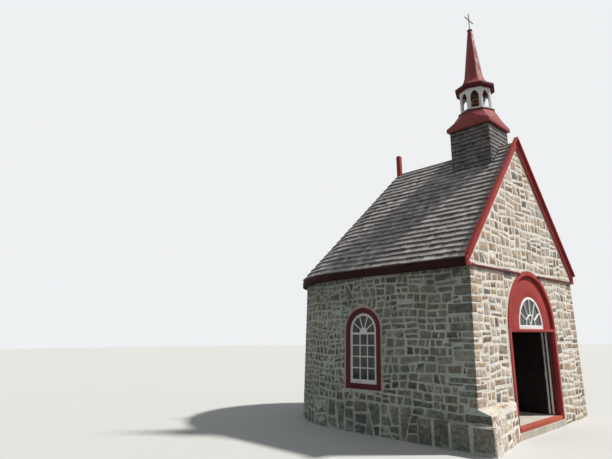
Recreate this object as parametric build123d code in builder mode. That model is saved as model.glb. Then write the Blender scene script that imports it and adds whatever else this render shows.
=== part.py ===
"""Small rubble-stone chapel with a round end, an arched red doorway and a belfry on the ridge.

Millimetres, +Z up. The origin is on the ground, in the middle of the front face. The front looks
along -Y, the round end is at +Y, and the left wall, as seen by someone facing the front, is at -X.
"""
from build123d import *
from math import atan, cos, degrees, radians, sin
import os

os.makedirs("parts", exist_ok=True)

# Body and walls
body_width = 4600.0
nave_length = 2870.0
wall_thickness = 650.0
wall_batter = 120.0
wall_head_bevel = 200.0
apse_segments = 3

# Floor and sill
floor_level = 190.0
sill_level = 115.0
sill_projection = 30.0

# Roof
ridge_z = 5620.0
eaves_z = 2975.0
eaves_overhang = 120.0
roof_depth = 90.0
ridge_cap_width = 150.0
ridge_cap_depth = 30.0
ridge_post_width = 95.0
ridge_post_height = 503.0

# Boards at the eaves and gable
fascia_height = 110.0
fascia_thickness = 30.0
fascia_setback = 10.0
soffit_thickness = 20.0
shingle_cover = 12.0
rake_above_ridge = 129.0
rake_height = 229.0
rake_thickness = 45.0
rake_overrun = 30.0
rake_foot_height = 138.0
rake_cap_projection = 32.0
rake_cap_height = 40.0
return_block_height = 70.0
string_course_height = 35.0
string_course_projection = 30.0
string_course_gap = 400.0

# Footing at the front corner
footing_height = 640.0
footing_weathering = 70.0
footing_top_front = 200.0
footing_top_at_door = 20.0
footing_foot_front = 290.0
footing_foot_at_door = 50.0
ledge_height = 425.0
ledge_side = 90.0
ledge_corner_cut = 60.0
ledge_into_front = 150.0
ledge_along_side = 1050.0
ledge_edge = 25.0

# Doorway
door_half_width = 1085.0
door_frame_face = 90.0
door_frame_depth = 115.0
door_frame_projection = 10.0
door_spring_z = 1875.0
door_stop_width = 30.0
door_stop_front = 25.0
door_stop_depth = 37.0
transom_bottom_z = 1800.0
transom_height = 52.0
tympanum_recess = 50.0
tympanum_thickness = 30.0

# Fanlight
fan_radius = 550.0
fan_centre_above_transom = 57.0
fan_rail_height = 74.0
fan_rim = 45.0
fan_frame_thickness = 50.0
glass_thickness = 4.0

# Door leaves and their hinges
leaf_thickness = 45.0
leaf_stop_gap = 8.0
leaf_side_gap = 5.0
leaf_top_gap = 8.0
leaf_stile = 95.0
leaf_bottom_rail = 200.0
leaf_middle_rail = 120.0
leaf_middle_rail_z = 900.0
leaf_panel_recess = 12.0
hinge_axis_offset = 12.0
pintle_radius = 6.0
pintle_play = 0.05
eye_radius = 11.0
strap_height = 45.0
strap_thickness = 5.0
strap_length = 520.0
strap_inset = 190.0
pintle_arm_height = 14.0
pintle_arm_length = 65.0
pintle_seat = 0.3
pintle_head = 4.0

# Side windows
window_before_apse = 600.0
window_width = 840.0
window_sill_z = 782.0
window_spring_z = 1862.0
window_frame_face = 100.0
window_frame_sill = 100.0
window_frame_depth = 90.0
window_sash_stile = 50.0
window_sash_rail = 75.0
window_sash_thickness = 40.0
window_sash_recess = 20.0
window_bar_height = 36.0
window_bar_below_spring = 45.0

# Belfry, from the ridge up
belfry_y = 760.0
belfry_width = 860.0
belfry_above_ridge = 465.0
skirt_overhang = 60.0
skirt_fascia = 75.0
skirt_rise = 320.0
skirt_top_radius = 395.0
lantern_ring_radius = 408.0
lantern_ring_height = 30.0
lantern_radius = 350.0
lantern_height = 510.0
lantern_wall = 30.0
lantern_opening_width = 170.0
lantern_opening_height = 400.0
lantern_opening_sill = 60.0
spire_eaves_radius = 440.0
spire_eaves_height = 90.0
spire_cornice_radius = 400.0
spire_cornice_height = 30.0
spire_neck_radius = 210.0
spire_neck_rise = 270.0
spire_rise = 1210.0
spire_tip_radius = 50.0
collar_radius = 60.0
collar_height = 12.0
cross_height = 434.0
cross_arm_z = 264.0
cross_arm_half = 190.0
cross_bar = 22.0
cross_bar_depth = 14.0

# Bell
bell_axis_drop = 90.0
bell_mouth_radius = 120.0
bell_height = 190.0
bell_crown_radius = 46.0
bell_shoulder_radius = 68.0
bell_shoulder_drop = 26.0
bell_waist_radius = 84.0
bell_waist_drop = 125.0
bell_wall = 9.0
headstock_length = 430.0
headstock_size = 50.0
gudgeon_radius = 7.0
gudgeon_play = 0.05
bearer_gap = 8.0
bearer_thickness = 30.0
bearer_width = 80.0
bearer_below_axis = 35.0
clapper_rod_radius = 6.0
clapper_ball_radius = 18.0
clapper_drop = 150.0

# Curved faces that meet stay this far apart
curved_fit = 0.5

# Worked out from the sizes above
half_width = body_width / 2
inner_half = half_width - wall_thickness
eaves_half = half_width + eaves_overhang
roof_slope = (ridge_z - eaves_z) / eaves_half
window_centre_y = nave_length - window_before_apse
apse_axis = Axis((0, nave_length, 0), (0, 0, 1))
front_face = Plane.XZ
side_face = Plane.YZ


def roof_top(x):
    """Height of the roof's upper face at a distance from the ridge line."""
    return ridge_z - roof_slope * abs(x)


def roof_under(x):
    """Height of the roof's lower face at a distance from the ridge line."""
    return roof_top(x) - roof_depth


wall_top_z = roof_under(half_width)
wall_plate_half = half_width - wall_head_bevel
wall_plate_z = roof_under(wall_plate_half)


def wall_half(z):
    """Half width of the body at a height: the walls lean in as they rise."""
    return half_width + wall_batter * (1 - z / wall_top_z)


def section_at(y):
    """Upright plane across the body at y, with X to the right and Z up."""
    return Plane.XZ.offset(-y)


def apse_section(angle):
    """Upright plane out from the middle of the round end, turned from +X by an angle."""
    turn = radians(angle)
    return Plane(origin=(0, nave_length, 0), x_dir=(cos(turn), sin(turn), 0),
                 z_dir=(sin(turn), -cos(turn), 0))


def outline(plane, points):
    """Face with straight sides through the points."""
    with BuildSketch(plane) as shape:
        with BuildLine():
            Polyline(*points, close=True)
        make_face()
    return shape.sketch


def round_headed(plane, centre, half, bottom, spring):
    """Face with a level foot, upright sides and a half-round head."""
    with BuildSketch(plane) as shape:
        with BuildLine():
            Polyline((centre + half, spring), (centre + half, bottom), (centre - half, bottom),
                     (centre - half, spring))
            ThreePointArc((centre - half, spring), (centre, spring + half), (centre + half, spring))
        make_face()
    return shape.sketch


def disc_above(plane, centre, radius, bottom):
    """Part of a disc that lies above a level."""
    with BuildSketch(plane) as shape:
        with Locations(centre):
            Circle(radius)
        with Locations((centre[0], bottom - radius)):
            Rectangle(2 * radius, 2 * radius, mode=Mode.SUBTRACT)
    return shape.sketch


def half_ring(plane, centre, outer, inner):
    """Upper half of a ring."""
    x = centre[0]
    z = centre[1]
    with BuildSketch(plane) as shape:
        with BuildLine():
            ThreePointArc((x - outer, z), (x, z + outer), (x + outer, z))
            Line((x + outer, z), (x + inner, z))
            ThreePointArc((x + inner, z), (x, z + inner), (x - inner, z))
            Line((x - inner, z), (x - outer, z))
        make_face()
    return shape.sketch


def octagon(z, radius):
    """Eight-sided face at a height over the belfry's middle, with corners on the axes."""
    with BuildSketch(Plane.XY.offset(z)) as shape:
        with Locations((0, belfry_y)):
            RegularPolygon(radius, 8)
    return shape.sketch


def save(piece, name):
    """Label a finished piece and write it."""
    piece.part.label = name
    export_step(piece.part, f"parts/{name}.step")


# Windows lean in with the walls that they stand in
batter_angle = atan(wall_batter / wall_top_z)


def window_plane(side, depth=0):
    """Plane of a side wall's outer face, or one at a depth behind it, with Y along and Z up it."""
    face = Plane(origin=(side * wall_half(0), 0, 0), x_dir=(0, 1, 0),
                 z_dir=(cos(batter_angle), 0, side * sin(batter_angle)))
    return face.offset(-side * depth)


# Side walls, with a window through each
wall_section = [
    (wall_half(0), 0),
    (half_width, wall_top_z),
    (wall_plate_half, wall_plate_z),
    (inner_half, wall_plate_z),
    (inner_half, 0),
]

for side, name in ((-1, "side_wall_left"), (1, "side_wall_right")):
    with BuildPart() as side_wall:
        extrude(outline(section_at(wall_thickness), [(side * x, z) for x, z in wall_section]),
                amount=-(nave_length - wall_thickness))
        extrude(round_headed(window_plane(side), window_centre_y, window_width / 2, window_sill_z,
                             window_spring_z),
                amount=2 * wall_thickness, both=True, mode=Mode.SUBTRACT)
    save(side_wall, name)

# Round end, in segments
segment_angle = 180 / apse_segments
for index, name in enumerate(("apse_wall_right", "apse_wall_rear", "apse_wall_left")):
    with BuildPart() as apse_wall:
        revolve(outline(apse_section(index * segment_angle), wall_section), axis=apse_axis,
                revolution_arc=segment_angle)
    save(apse_wall, name)

# Front wall: a pier each side of the doorway and the gable over it
for side, name in ((-1, "front_pier_left"), (1, "front_pier_right")):
    with BuildPart() as front_pier:
        extrude(outline(front_face, [
            (side * door_half_width, 0),
            (side * wall_half(0), 0),
            (side * wall_half(door_spring_z), door_spring_z),
            (side * door_half_width, door_spring_z),
        ]), amount=-wall_thickness)
    save(front_pier, name)

with BuildPart() as front_gable:
    extrude(outline(front_face, [
        (-wall_half(door_spring_z), door_spring_z),
        (-half_width, wall_top_z),
        (0, roof_under(0)),
        (half_width, wall_top_z),
        (wall_half(door_spring_z), door_spring_z),
    ]), amount=-wall_thickness)
    extrude(round_headed(front_face, 0, door_half_width, 0, door_spring_z),
            amount=-wall_thickness, mode=Mode.SUBTRACT)
save(front_gable, "front_gable")

# Corner footing: the front corner flares to its foot, on a low ledge along the side
corner_x = -wall_half(0)


def footing_plan(z, front, at_door):
    """Level section of the flared corner."""
    return outline(Plane.XY.offset(z), [
        (-wall_half(z), 0),
        (-wall_half(z), -front),
        (-door_half_width, -at_door),
        (-door_half_width, 0),
    ])


with BuildPart() as corner_footing:
    loft([footing_plan(0, footing_foot_front, footing_foot_at_door),
          footing_plan(footing_height, footing_top_front, footing_top_at_door)], ruled=True)
    extrude(outline(side_face, [
        (0, footing_height),
        (-2 * footing_top_front, footing_height - 2 * footing_weathering),
        (-2 * footing_top_front, footing_height + footing_weathering),
        (0, footing_height + footing_weathering),
    ]), amount=-body_width, mode=Mode.SUBTRACT)
    extrude(outline(Plane.XY, [
        (corner_x, ledge_along_side),
        (corner_x - ledge_side, ledge_along_side),
        (corner_x - ledge_side, ledge_corner_cut - footing_foot_front),
        (corner_x - ledge_side + ledge_corner_cut, -footing_foot_front),
        (corner_x + ledge_into_front, -footing_foot_front),
        (corner_x + ledge_into_front, 0),
        (-wall_half(ledge_height), 0),
        (-wall_half(ledge_height), ledge_along_side),
    ]), amount=ledge_height)
    chamfer(corner_footing.edges().filter_by_position(Axis.Z, ledge_height, ledge_height)
            .filter_by(Axis.Y).sort_by(Axis.X)[0], ledge_edge)
    extrude(outline(front_face, [
        (corner_x, 0),
        (-wall_half(footing_height), footing_height),
        (0, footing_height),
        (0, 0),
    ]), amount=-2 * ledge_along_side, mode=Mode.SUBTRACT)
save(corner_footing, "corner_footing")

# Floor, with the strip through the doorway and the stone sill
frame_back = door_frame_depth - door_frame_projection
with BuildPart() as floor:
    with BuildSketch(Plane.XY):
        with BuildLine():
            Polyline((inner_half - curved_fit, nave_length), (inner_half - curved_fit, wall_thickness),
                     (-inner_half + curved_fit, wall_thickness), (-inner_half + curved_fit, nave_length))
            ThreePointArc((-inner_half + curved_fit, nave_length),
                          (0, nave_length + inner_half - curved_fit),
                          (inner_half - curved_fit, nave_length))
        make_face()
    extrude(amount=floor_level)
    extrude(outline(front_face.offset(sill_projection), [
        (-door_half_width, 0),
        (door_half_width, 0),
        (door_half_width, sill_level),
        (-door_half_width, sill_level),
    ]), amount=-(sill_projection + wall_thickness))
    extrude(outline(section_at(frame_back), [
        (-door_half_width, 0),
        (door_half_width, 0),
        (door_half_width, floor_level),
        (-door_half_width, floor_level),
    ]), amount=-(wall_thickness - frame_back))
save(floor, "floor")

# Roof slopes and the half cone over the round end
fascia_outer = eaves_half - fascia_setback
fascia_inner = fascia_outer - fascia_thickness
roof_section = [
    (0, roof_top(0)),
    (fascia_inner, roof_top(fascia_inner)),
    (fascia_inner, roof_under(fascia_inner)),
    (0, roof_under(0)),
]

for side, name in ((-1, "roof_slope_left"), (1, "roof_slope_right")):
    with BuildPart() as roof_slope_panel:
        extrude(outline(front_face, [(side * x, z) for x, z in roof_section]), amount=-nave_length)
    save(roof_slope_panel, name)

with BuildPart() as apse_roof:
    revolve(outline(apse_section(0), roof_section), axis=apse_axis, revolution_arc=180)
save(apse_roof, "apse_roof")

# Ridge cap, in front of the belfry and behind it
with BuildPart() as ridge_cap:
    for start, end in ((0, belfry_y - belfry_width / 2),
                       (belfry_y + belfry_width / 2, nave_length - ridge_post_width / 2)):
        extrude(outline(section_at(start), [
            (0, roof_top(0)),
            (ridge_cap_width, roof_top(ridge_cap_width)),
            (ridge_cap_width, roof_top(ridge_cap_width) + ridge_cap_depth),
            (0, roof_top(0) + ridge_cap_depth),
            (-ridge_cap_width, roof_top(ridge_cap_width) + ridge_cap_depth),
            (-ridge_cap_width, roof_top(ridge_cap_width)),
        ]), amount=-(end - start))
save(ridge_cap, "ridge_cap")

# Ridge post at the rear end of the ridge, saddled over the roof
with BuildPart() as ridge_post:
    with BuildSketch(Plane.XY.offset(roof_top(ridge_post_width))):
        with Locations((0, nave_length)):
            Rectangle(ridge_post_width, ridge_post_width)
    extrude(amount=ridge_z + ridge_post_height - roof_top(ridge_post_width))
    chamfer(ridge_post.faces().sort_by(Axis.Z)[-1].edges(), ridge_post_width / 5)
    extrude(outline(section_at(0), [(0, ridge_z), (eaves_half, eaves_z), (-eaves_half, eaves_z)]),
            amount=-nave_length, mode=Mode.SUBTRACT)
    revolve(outline(apse_section(0), [(0, ridge_z), (eaves_half, eaves_z), (0, eaves_z)]), axis=apse_axis,
            revolution_arc=180, mode=Mode.SUBTRACT)
save(ridge_post, "ridge_post")

# Boxed eaves board down both sides and round the end
fascia_bottom = eaves_z - fascia_height
eaves_section = [
    (fascia_inner, roof_top(fascia_inner) - shingle_cover),
    (fascia_outer, roof_top(fascia_outer) - shingle_cover),
    (fascia_outer, fascia_bottom),
    (wall_half(fascia_bottom), fascia_bottom),
    (wall_half(fascia_bottom + soffit_thickness), fascia_bottom + soffit_thickness),
    (fascia_inner, fascia_bottom + soffit_thickness),
]

with BuildPart() as eaves_boards:
    for side in (-1, 1):
        extrude(outline(section_at(0), [(side * x, z) for x, z in eaves_section]), amount=-nave_length)
    revolve(outline(apse_section(0), eaves_section), axis=apse_axis, revolution_arc=180)
save(eaves_boards, "eaves_boards")

# Rake boards on the front, with a cap along the top and a boxed block at the foot
rake_top_z = ridge_z + rake_above_ridge
rake_inner_z = rake_top_z - rake_height
rake_half_span = eaves_half + rake_overrun
rake_foot_z = rake_top_z - roof_slope * rake_half_span - rake_foot_height
rake_foot_x = (rake_inner_z - rake_foot_z) / roof_slope
for side, name in ((-1, "rake_board_left"), (1, "rake_board_right")):
    with BuildPart() as rake_board:
        extrude(outline(front_face, [
            (0, rake_top_z),
            (side * rake_half_span, rake_top_z - roof_slope * rake_half_span),
            (side * rake_half_span, rake_foot_z),
            (side * rake_foot_x, rake_foot_z),
            (0, rake_inner_z),
        ]), amount=rake_thickness)
        extrude(outline(front_face, [
            (0, rake_top_z),
            (side * rake_half_span, rake_top_z - roof_slope * rake_half_span),
            (side * rake_half_span, rake_top_z - roof_slope * rake_half_span - rake_cap_height),
            (0, rake_top_z - rake_cap_height),
        ]), amount=rake_thickness + rake_cap_projection)
        extrude(outline(front_face, [
            (side * wall_half(rake_foot_z), rake_foot_z),
            (side * rake_half_span, rake_foot_z),
            (side * rake_half_span, rake_foot_z - return_block_height),
            (side * wall_half(rake_foot_z), rake_foot_z - return_block_height),
        ]), amount=rake_thickness)
    save(rake_board, name)

# String course, on each side of the door arch only
string_bottom = rake_foot_z - return_block_height
with BuildPart() as string_course:
    for side in (-1, 1):
        extrude(outline(front_face, [
            (side * string_course_gap, string_bottom),
            (side * wall_half(rake_foot_z), string_bottom),
            (side * wall_half(rake_foot_z), string_bottom + string_course_height),
            (side * string_course_gap, string_bottom + string_course_height),
        ]), amount=string_course_projection)
    extrude(half_ring(front_face, (0, door_spring_z), door_half_width + curved_fit, door_half_width / 2),
            amount=string_course_projection, mode=Mode.SUBTRACT)
save(string_course, "string_course")

# Door jambs, standing on the sill, each with a stop for its leaf
door_inner = door_half_width - door_frame_face
frame_front = Plane.XZ.offset(door_frame_projection)
with BuildPart() as door_jambs:
    for side in (-1, 1):
        extrude(outline(Plane.XY.offset(sill_level), [
            (side * door_half_width, -door_frame_projection),
            (side * door_inner, -door_frame_projection),
            (side * door_inner, door_stop_front - door_frame_projection),
            (side * (door_inner - door_stop_width), door_stop_front - door_frame_projection),
            (side * (door_inner - door_stop_width), door_stop_front - door_frame_projection + door_stop_depth),
            (side * door_inner, door_stop_front - door_frame_projection + door_stop_depth),
            (side * door_inner, frame_back),
            (side * door_half_width, frame_back),
        ]), amount=transom_bottom_z - sill_level)
        extrude(outline(Plane.XY.offset(transom_bottom_z), [
            (side * door_half_width, -door_frame_projection),
            (side * door_inner, -door_frame_projection),
            (side * door_inner, frame_back),
            (side * door_half_width, frame_back),
        ]), amount=door_spring_z - transom_bottom_z)
save(door_jambs, "door_jambs")

# Arched head of the door frame
with BuildPart() as door_arch:
    extrude(half_ring(frame_front, (0, door_spring_z), door_half_width - curved_fit, door_inner),
            amount=-door_frame_depth)
save(door_arch, "door_arch")

# Transom over the leaves
transom_top_z = transom_bottom_z + transom_height
with BuildPart() as door_transom:
    extrude(outline(frame_front, [
        (-door_inner, transom_bottom_z),
        (door_inner, transom_bottom_z),
        (door_inner, transom_top_z),
        (-door_inner, transom_top_z),
    ]), amount=-door_frame_depth)
save(door_transom, "door_transom")

# Threshold
with BuildPart() as door_threshold:
    extrude(outline(frame_front, [
        (-door_inner + door_stop_width, sill_level),
        (door_inner - door_stop_width, sill_level),
        (door_inner - door_stop_width, floor_level),
        (-door_inner + door_stop_width, floor_level),
    ]), amount=-door_frame_depth)
save(door_threshold, "door_threshold")

# Panel in the arch, set back, with the fanlight let through it
tympanum_plane = section_at(tympanum_recess - door_frame_projection)
fan_centre_z = transom_top_z + fan_centre_above_transom
with BuildPart() as tympanum_panel:
    extrude(round_headed(tympanum_plane, 0, door_inner - curved_fit, transom_top_z, door_spring_z),
            amount=-tympanum_thickness)
    extrude(round_headed(tympanum_plane, 0, fan_radius, 0, fan_centre_z),
            amount=-tympanum_thickness, mode=Mode.SUBTRACT)
save(tympanum_panel, "tympanum_panel")

# Fanlight: rail, half-round rim and hub
fan_rail_z = transom_top_z + fan_rail_height
fan_front = tympanum_recess - door_frame_projection - (fan_frame_thickness - tympanum_thickness) / 2
fan_glass_y = fan_front + fan_frame_thickness / 2
fan_inner = fan_radius - curved_fit - fan_rim
with BuildPart() as fanlight_frame:
    extrude(round_headed(section_at(fan_front), 0, fan_radius - curved_fit, transom_top_z, fan_centre_z),
            amount=-fan_frame_thickness)
    extrude(disc_above(section_at(fan_front), (0, fan_centre_z), fan_inner, fan_rail_z),
            amount=-fan_frame_thickness, mode=Mode.SUBTRACT)
save(fanlight_frame, "fanlight_frame")

with BuildPart() as fanlight_glass:
    extrude(disc_above(section_at(fan_glass_y - glass_thickness / 2), (0, fan_centre_z),
                       fan_inner - curved_fit, fan_rail_z),
            amount=-glass_thickness)
save(fanlight_glass, "fanlight_glass")

# Door leaves, shown open, square to the front. The hinge axis lies behind each closed leaf
leaf_front_y = door_stop_front - door_frame_projection + door_stop_depth + leaf_stop_gap
hinge_y = leaf_front_y + leaf_thickness + hinge_axis_offset
leaf_width = door_inner - 2 * leaf_side_gap
leaf_outer_x = door_inner - hinge_axis_offset
leaf_inner_x = leaf_outer_x - leaf_thickness
leaf_start_y = hinge_y + leaf_side_gap
leaf_bottom_z = floor_level + leaf_top_gap
leaf_top_z = transom_bottom_z - leaf_top_gap
leaf_panels = (
    (leaf_bottom_z + leaf_bottom_rail, leaf_middle_rail_z),
    (leaf_middle_rail_z + leaf_middle_rail, leaf_top_z - leaf_stile),
)
for side, name in ((-1, "door_leaf_left"), (1, "door_leaf_right")):
    with BuildPart() as door_leaf:
        extrude(outline(Plane.XY.offset(leaf_bottom_z), [
            (side * leaf_inner_x, leaf_start_y),
            (side * leaf_outer_x, leaf_start_y),
            (side * leaf_outer_x, leaf_start_y + leaf_width),
            (side * leaf_inner_x, leaf_start_y + leaf_width),
        ]), amount=leaf_top_z - leaf_bottom_z)
        for face_x, depth in ((leaf_inner_x, leaf_panel_recess), (leaf_outer_x, -leaf_panel_recess)):
            for panel_bottom, panel_top in leaf_panels:
                extrude(outline(side_face.offset(side * face_x), [
                    (leaf_start_y + leaf_stile, panel_bottom),
                    (leaf_start_y + leaf_width - leaf_stile, panel_bottom),
                    (leaf_start_y + leaf_width - leaf_stile, panel_top),
                    (leaf_start_y + leaf_stile, panel_top),
                ]), amount=side * depth, mode=Mode.SUBTRACT)
    save(door_leaf, name)

# Strap hinges on the leaves: a flat strap with an eye round its pintle
strap_levels = (leaf_bottom_z + strap_inset, leaf_top_z - strap_inset - strap_height)
for side, name in ((-1, "strap_hinges_left"), (1, "strap_hinges_right")):
    with BuildPart() as strap_hinges:
        for level in strap_levels:
            with BuildSketch(Plane.XY.offset(level)):
                with Locations((side * door_inner, hinge_y)):
                    Circle(eye_radius)
                with BuildLine():
                    Polyline((side * leaf_outer_x, hinge_y), (side * leaf_outer_x, leaf_start_y + strap_length),
                             (side * (leaf_outer_x + strap_thickness), leaf_start_y + strap_length),
                             (side * (leaf_outer_x + strap_thickness), hinge_y), close=True)
                make_face()
                with Locations((side * door_inner, hinge_y)):
                    Circle(pintle_radius + pintle_play, mode=Mode.SUBTRACT)
            extrude(amount=strap_height)
    save(strap_hinges, name)

# Pintles on the back of the jambs, which carry the leaves
with BuildPart() as door_pintles:
    for side in (-1, 1):
        for level in strap_levels:
            arm_top = level - pintle_seat
            with BuildSketch(Plane.XY.offset(arm_top - pintle_arm_height)):
                with Locations((side * door_inner, hinge_y)):
                    Circle(eye_radius)
                with BuildLine():
                    Polyline((side * door_inner, frame_back),
                             (side * (door_inner + pintle_arm_length), frame_back),
                             (side * (door_inner + pintle_arm_length), hinge_y + eye_radius),
                             (side * door_inner, hinge_y + eye_radius), close=True)
                make_face()
            extrude(amount=pintle_arm_height)
            with BuildSketch(Plane.XY.offset(arm_top)):
                with Locations((side * door_inner, hinge_y)):
                    Circle(pintle_radius)
            extrude(amount=pintle_seat + strap_height + pintle_head)
save(door_pintles, "door_pintles")

# Window frames, flush with the leaning walls
window_half = window_width / 2
sash_half = window_half - window_frame_face
sash_bottom_z = window_sill_z + window_frame_sill
light_half = sash_half - curved_fit - window_sash_stile
light_bottom_z = sash_bottom_z + window_sash_rail
glass_depth = window_sash_recess + (window_sash_thickness - glass_thickness) / 2
bar_top = window_spring_z - window_bar_below_spring
bar_bottom = bar_top - window_bar_height

with BuildPart() as window_frames:
    for side in (-1, 1):
        plane = window_plane(side)
        extrude(round_headed(plane, window_centre_y, window_half - curved_fit, window_sill_z, window_spring_z),
                amount=-side * window_frame_depth)
        extrude(round_headed(plane, window_centre_y, sash_half, sash_bottom_z, window_spring_z),
                amount=-side * window_frame_depth, mode=Mode.SUBTRACT)
save(window_frames, "window_frames")

# Window sashes, with a bar below the springing
with BuildPart() as window_sashes:
    for side in (-1, 1):
        plane = window_plane(side, window_sash_recess)
        extrude(round_headed(plane, window_centre_y, sash_half - curved_fit, sash_bottom_z, window_spring_z),
                amount=-side * window_sash_thickness)
        extrude(outline(plane, [
            (window_centre_y - light_half, light_bottom_z),
            (window_centre_y + light_half, light_bottom_z),
            (window_centre_y + light_half, bar_bottom),
            (window_centre_y - light_half, bar_bottom),
        ]), amount=-side * window_sash_thickness, mode=Mode.SUBTRACT)
        extrude(round_headed(plane, window_centre_y, light_half, bar_top, window_spring_z),
                amount=-side * window_sash_thickness, mode=Mode.SUBTRACT)
save(window_sashes, "window_sashes")

# Panes, one sheet below the bar and one above it on each side
with BuildPart() as window_glass:
    for side in (-1, 1):
        plane = window_plane(side, glass_depth)
        extrude(outline(plane, [
            (window_centre_y - light_half, light_bottom_z),
            (window_centre_y + light_half, light_bottom_z),
            (window_centre_y + light_half, bar_bottom),
            (window_centre_y - light_half, bar_bottom),
        ]), amount=-side * glass_thickness)
        extrude(round_headed(plane, window_centre_y, light_half - curved_fit, bar_top, window_spring_z),
                amount=-side * glass_thickness)
save(window_glass, "window_glass")

# Belfry base, saddled over the ridge
belfry_top_z = ridge_z + belfry_above_ridge
belfry_half = belfry_width / 2
with BuildPart() as belfry_base:
    with BuildSketch(Plane.XY.offset(roof_top(belfry_half))):
        with Locations((0, belfry_y)):
            Rectangle(belfry_width, belfry_width)
    extrude(amount=belfry_top_z - roof_top(belfry_half))
    extrude(outline(front_face, [(0, ridge_z), (eaves_half, eaves_z), (-eaves_half, eaves_z)]),
            amount=-nave_length, mode=Mode.SUBTRACT)
save(belfry_base, "belfry_base")

# Skirt roof: a square fascia, then a bell-cast slope up to the eight-sided lantern
skirt_half = belfry_half + skirt_overhang
skirt_eaves_z = belfry_top_z + skirt_fascia
skirt_top_z = skirt_eaves_z + skirt_rise
skirt_profile = ((0, 0), (0.45, 0.56), (1, 1))
square_corner = skirt_half / cos(radians(45))


def skirt_stage(low, high):
    """One straight stage of the skirt: a square hip whose corners an eight-sided one cuts back."""
    low_z = skirt_eaves_z + low[0] * skirt_rise
    high_z = skirt_eaves_z + high[0] * skirt_rise
    square_low = skirt_half + low[1] * (skirt_top_radius - skirt_half)
    square_high = skirt_half + high[1] * (skirt_top_radius - skirt_half)
    corner_low = square_corner + low[1] * (skirt_top_radius - square_corner)
    corner_high = square_corner + high[1] * (skirt_top_radius - square_corner)
    with BuildPart() as stage:
        with BuildSketch(Plane.XY.offset(low_z)):
            with Locations((0, belfry_y)):
                Rectangle(2 * square_low, 2 * square_low)
        extrude(amount=high_z - low_z, taper=degrees(atan((square_low - square_high) / (high_z - low_z))))
        extrude(octagon(low_z, corner_low), amount=high_z - low_z, mode=Mode.INTERSECT,
                taper=degrees(atan((corner_low - corner_high) * cos(radians(22.5)) / (high_z - low_z))))
    return stage.part


with BuildPart() as belfry_skirt_roof:
    with BuildSketch(Plane.XY.offset(belfry_top_z)):
        with Locations((0, belfry_y)):
            Rectangle(2 * skirt_half, 2 * skirt_half)
    extrude(amount=skirt_fascia)
    for low, high in zip(skirt_profile, skirt_profile[1:]):
        add(skirt_stage(low, high))
save(belfry_skirt_roof, "belfry_skirt_roof")

# Dark band under the lantern
with BuildPart() as lantern_ring:
    extrude(octagon(skirt_top_z, lantern_ring_radius), amount=lantern_ring_height)
save(lantern_ring, "lantern_ring")

# Lantern: eight walls, each with a pointed opening
lantern_bottom_z = skirt_top_z + lantern_ring_height
lantern_top_z = lantern_bottom_z + lantern_height
opening_half = lantern_opening_width / 2
opening_bottom = lantern_bottom_z + lantern_opening_sill
opening_arc = lantern_opening_width
opening_spring = opening_bottom + lantern_opening_height - opening_arc * cos(radians(30))
with BuildPart() as lantern:
    extrude(octagon(lantern_bottom_z, lantern_radius), amount=lantern_height)
    extrude(octagon(lantern_bottom_z, lantern_radius - lantern_wall / cos(radians(22.5))),
            amount=lantern_height, mode=Mode.SUBTRACT)
    for step in range(4):
        turn = radians(22.5 + 45 * step)
        across = Plane(origin=(0, belfry_y, 0), x_dir=(-sin(turn), cos(turn), 0),
                       z_dir=(cos(turn), sin(turn), 0))
        with BuildSketch(across) as pointed:
            with BuildLine():
                Polyline((-opening_half, opening_spring), (-opening_half, opening_bottom),
                         (opening_half, opening_bottom), (opening_half, opening_spring))
                ThreePointArc((opening_half, opening_spring),
                              (-opening_half + opening_arc * cos(radians(30)),
                               opening_spring + opening_arc * sin(radians(30))),
                              (0, opening_spring + opening_arc * sin(radians(60))))
                ThreePointArc((0, opening_spring + opening_arc * sin(radians(60))),
                              (opening_half - opening_arc * cos(radians(30)),
                               opening_spring + opening_arc * sin(radians(30))),
                              (-opening_half, opening_spring))
            make_face()
        extrude(amount=lantern_radius, both=True, mode=Mode.SUBTRACT)
save(lantern, "lantern")

# Spire eaves: a moulding under a deep fascia
spire_bottom_z = lantern_top_z + spire_eaves_height
with BuildPart() as spire_eaves:
    extrude(octagon(lantern_top_z, spire_cornice_radius), amount=spire_cornice_height)
    extrude(octagon(lantern_top_z + spire_cornice_height, spire_eaves_radius),
            amount=spire_eaves_height - spire_cornice_height)
save(spire_eaves, "spire_eaves")

# Spire: a flared skirt, then a straight taper
spire_flare = ((0, 0), (0.1, 0.3), (0.3, 0.6), (0.6, 0.84), (1, 1))
spire_top_z = spire_bottom_z + spire_neck_rise + spire_rise
spire_profile = [
    (spire_bottom_z + rise * spire_neck_rise,
     spire_eaves_radius + inward * (spire_neck_radius - spire_eaves_radius))
    for rise, inward in spire_flare
]
spire_profile.append((spire_top_z, spire_tip_radius))
with BuildPart() as spire:
    for (low_z, low_radius), (high_z, high_radius) in zip(spire_profile, spire_profile[1:]):
        lean = degrees(atan((low_radius - high_radius) * cos(radians(22.5)) / (high_z - low_z)))
        extrude(octagon(low_z, low_radius), amount=high_z - low_z, taper=lean)
save(spire, "spire")

# Collar and iron cross
cross_foot_z = spire_top_z + collar_height
with BuildPart() as cross:
    with BuildSketch(Plane.XY.offset(spire_top_z)):
        with Locations((0, belfry_y)):
            Circle(collar_radius)
    extrude(amount=collar_height)
    with BuildSketch(section_at(belfry_y - cross_bar_depth / 2)):
        with Locations((0, cross_foot_z + cross_height / 2)):
            Rectangle(cross_bar, cross_height)
        with Locations((0, cross_foot_z + cross_arm_z)):
            Rectangle(2 * cross_arm_half, cross_bar)
    extrude(amount=-cross_bar_depth)
save(cross, "cross")

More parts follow.
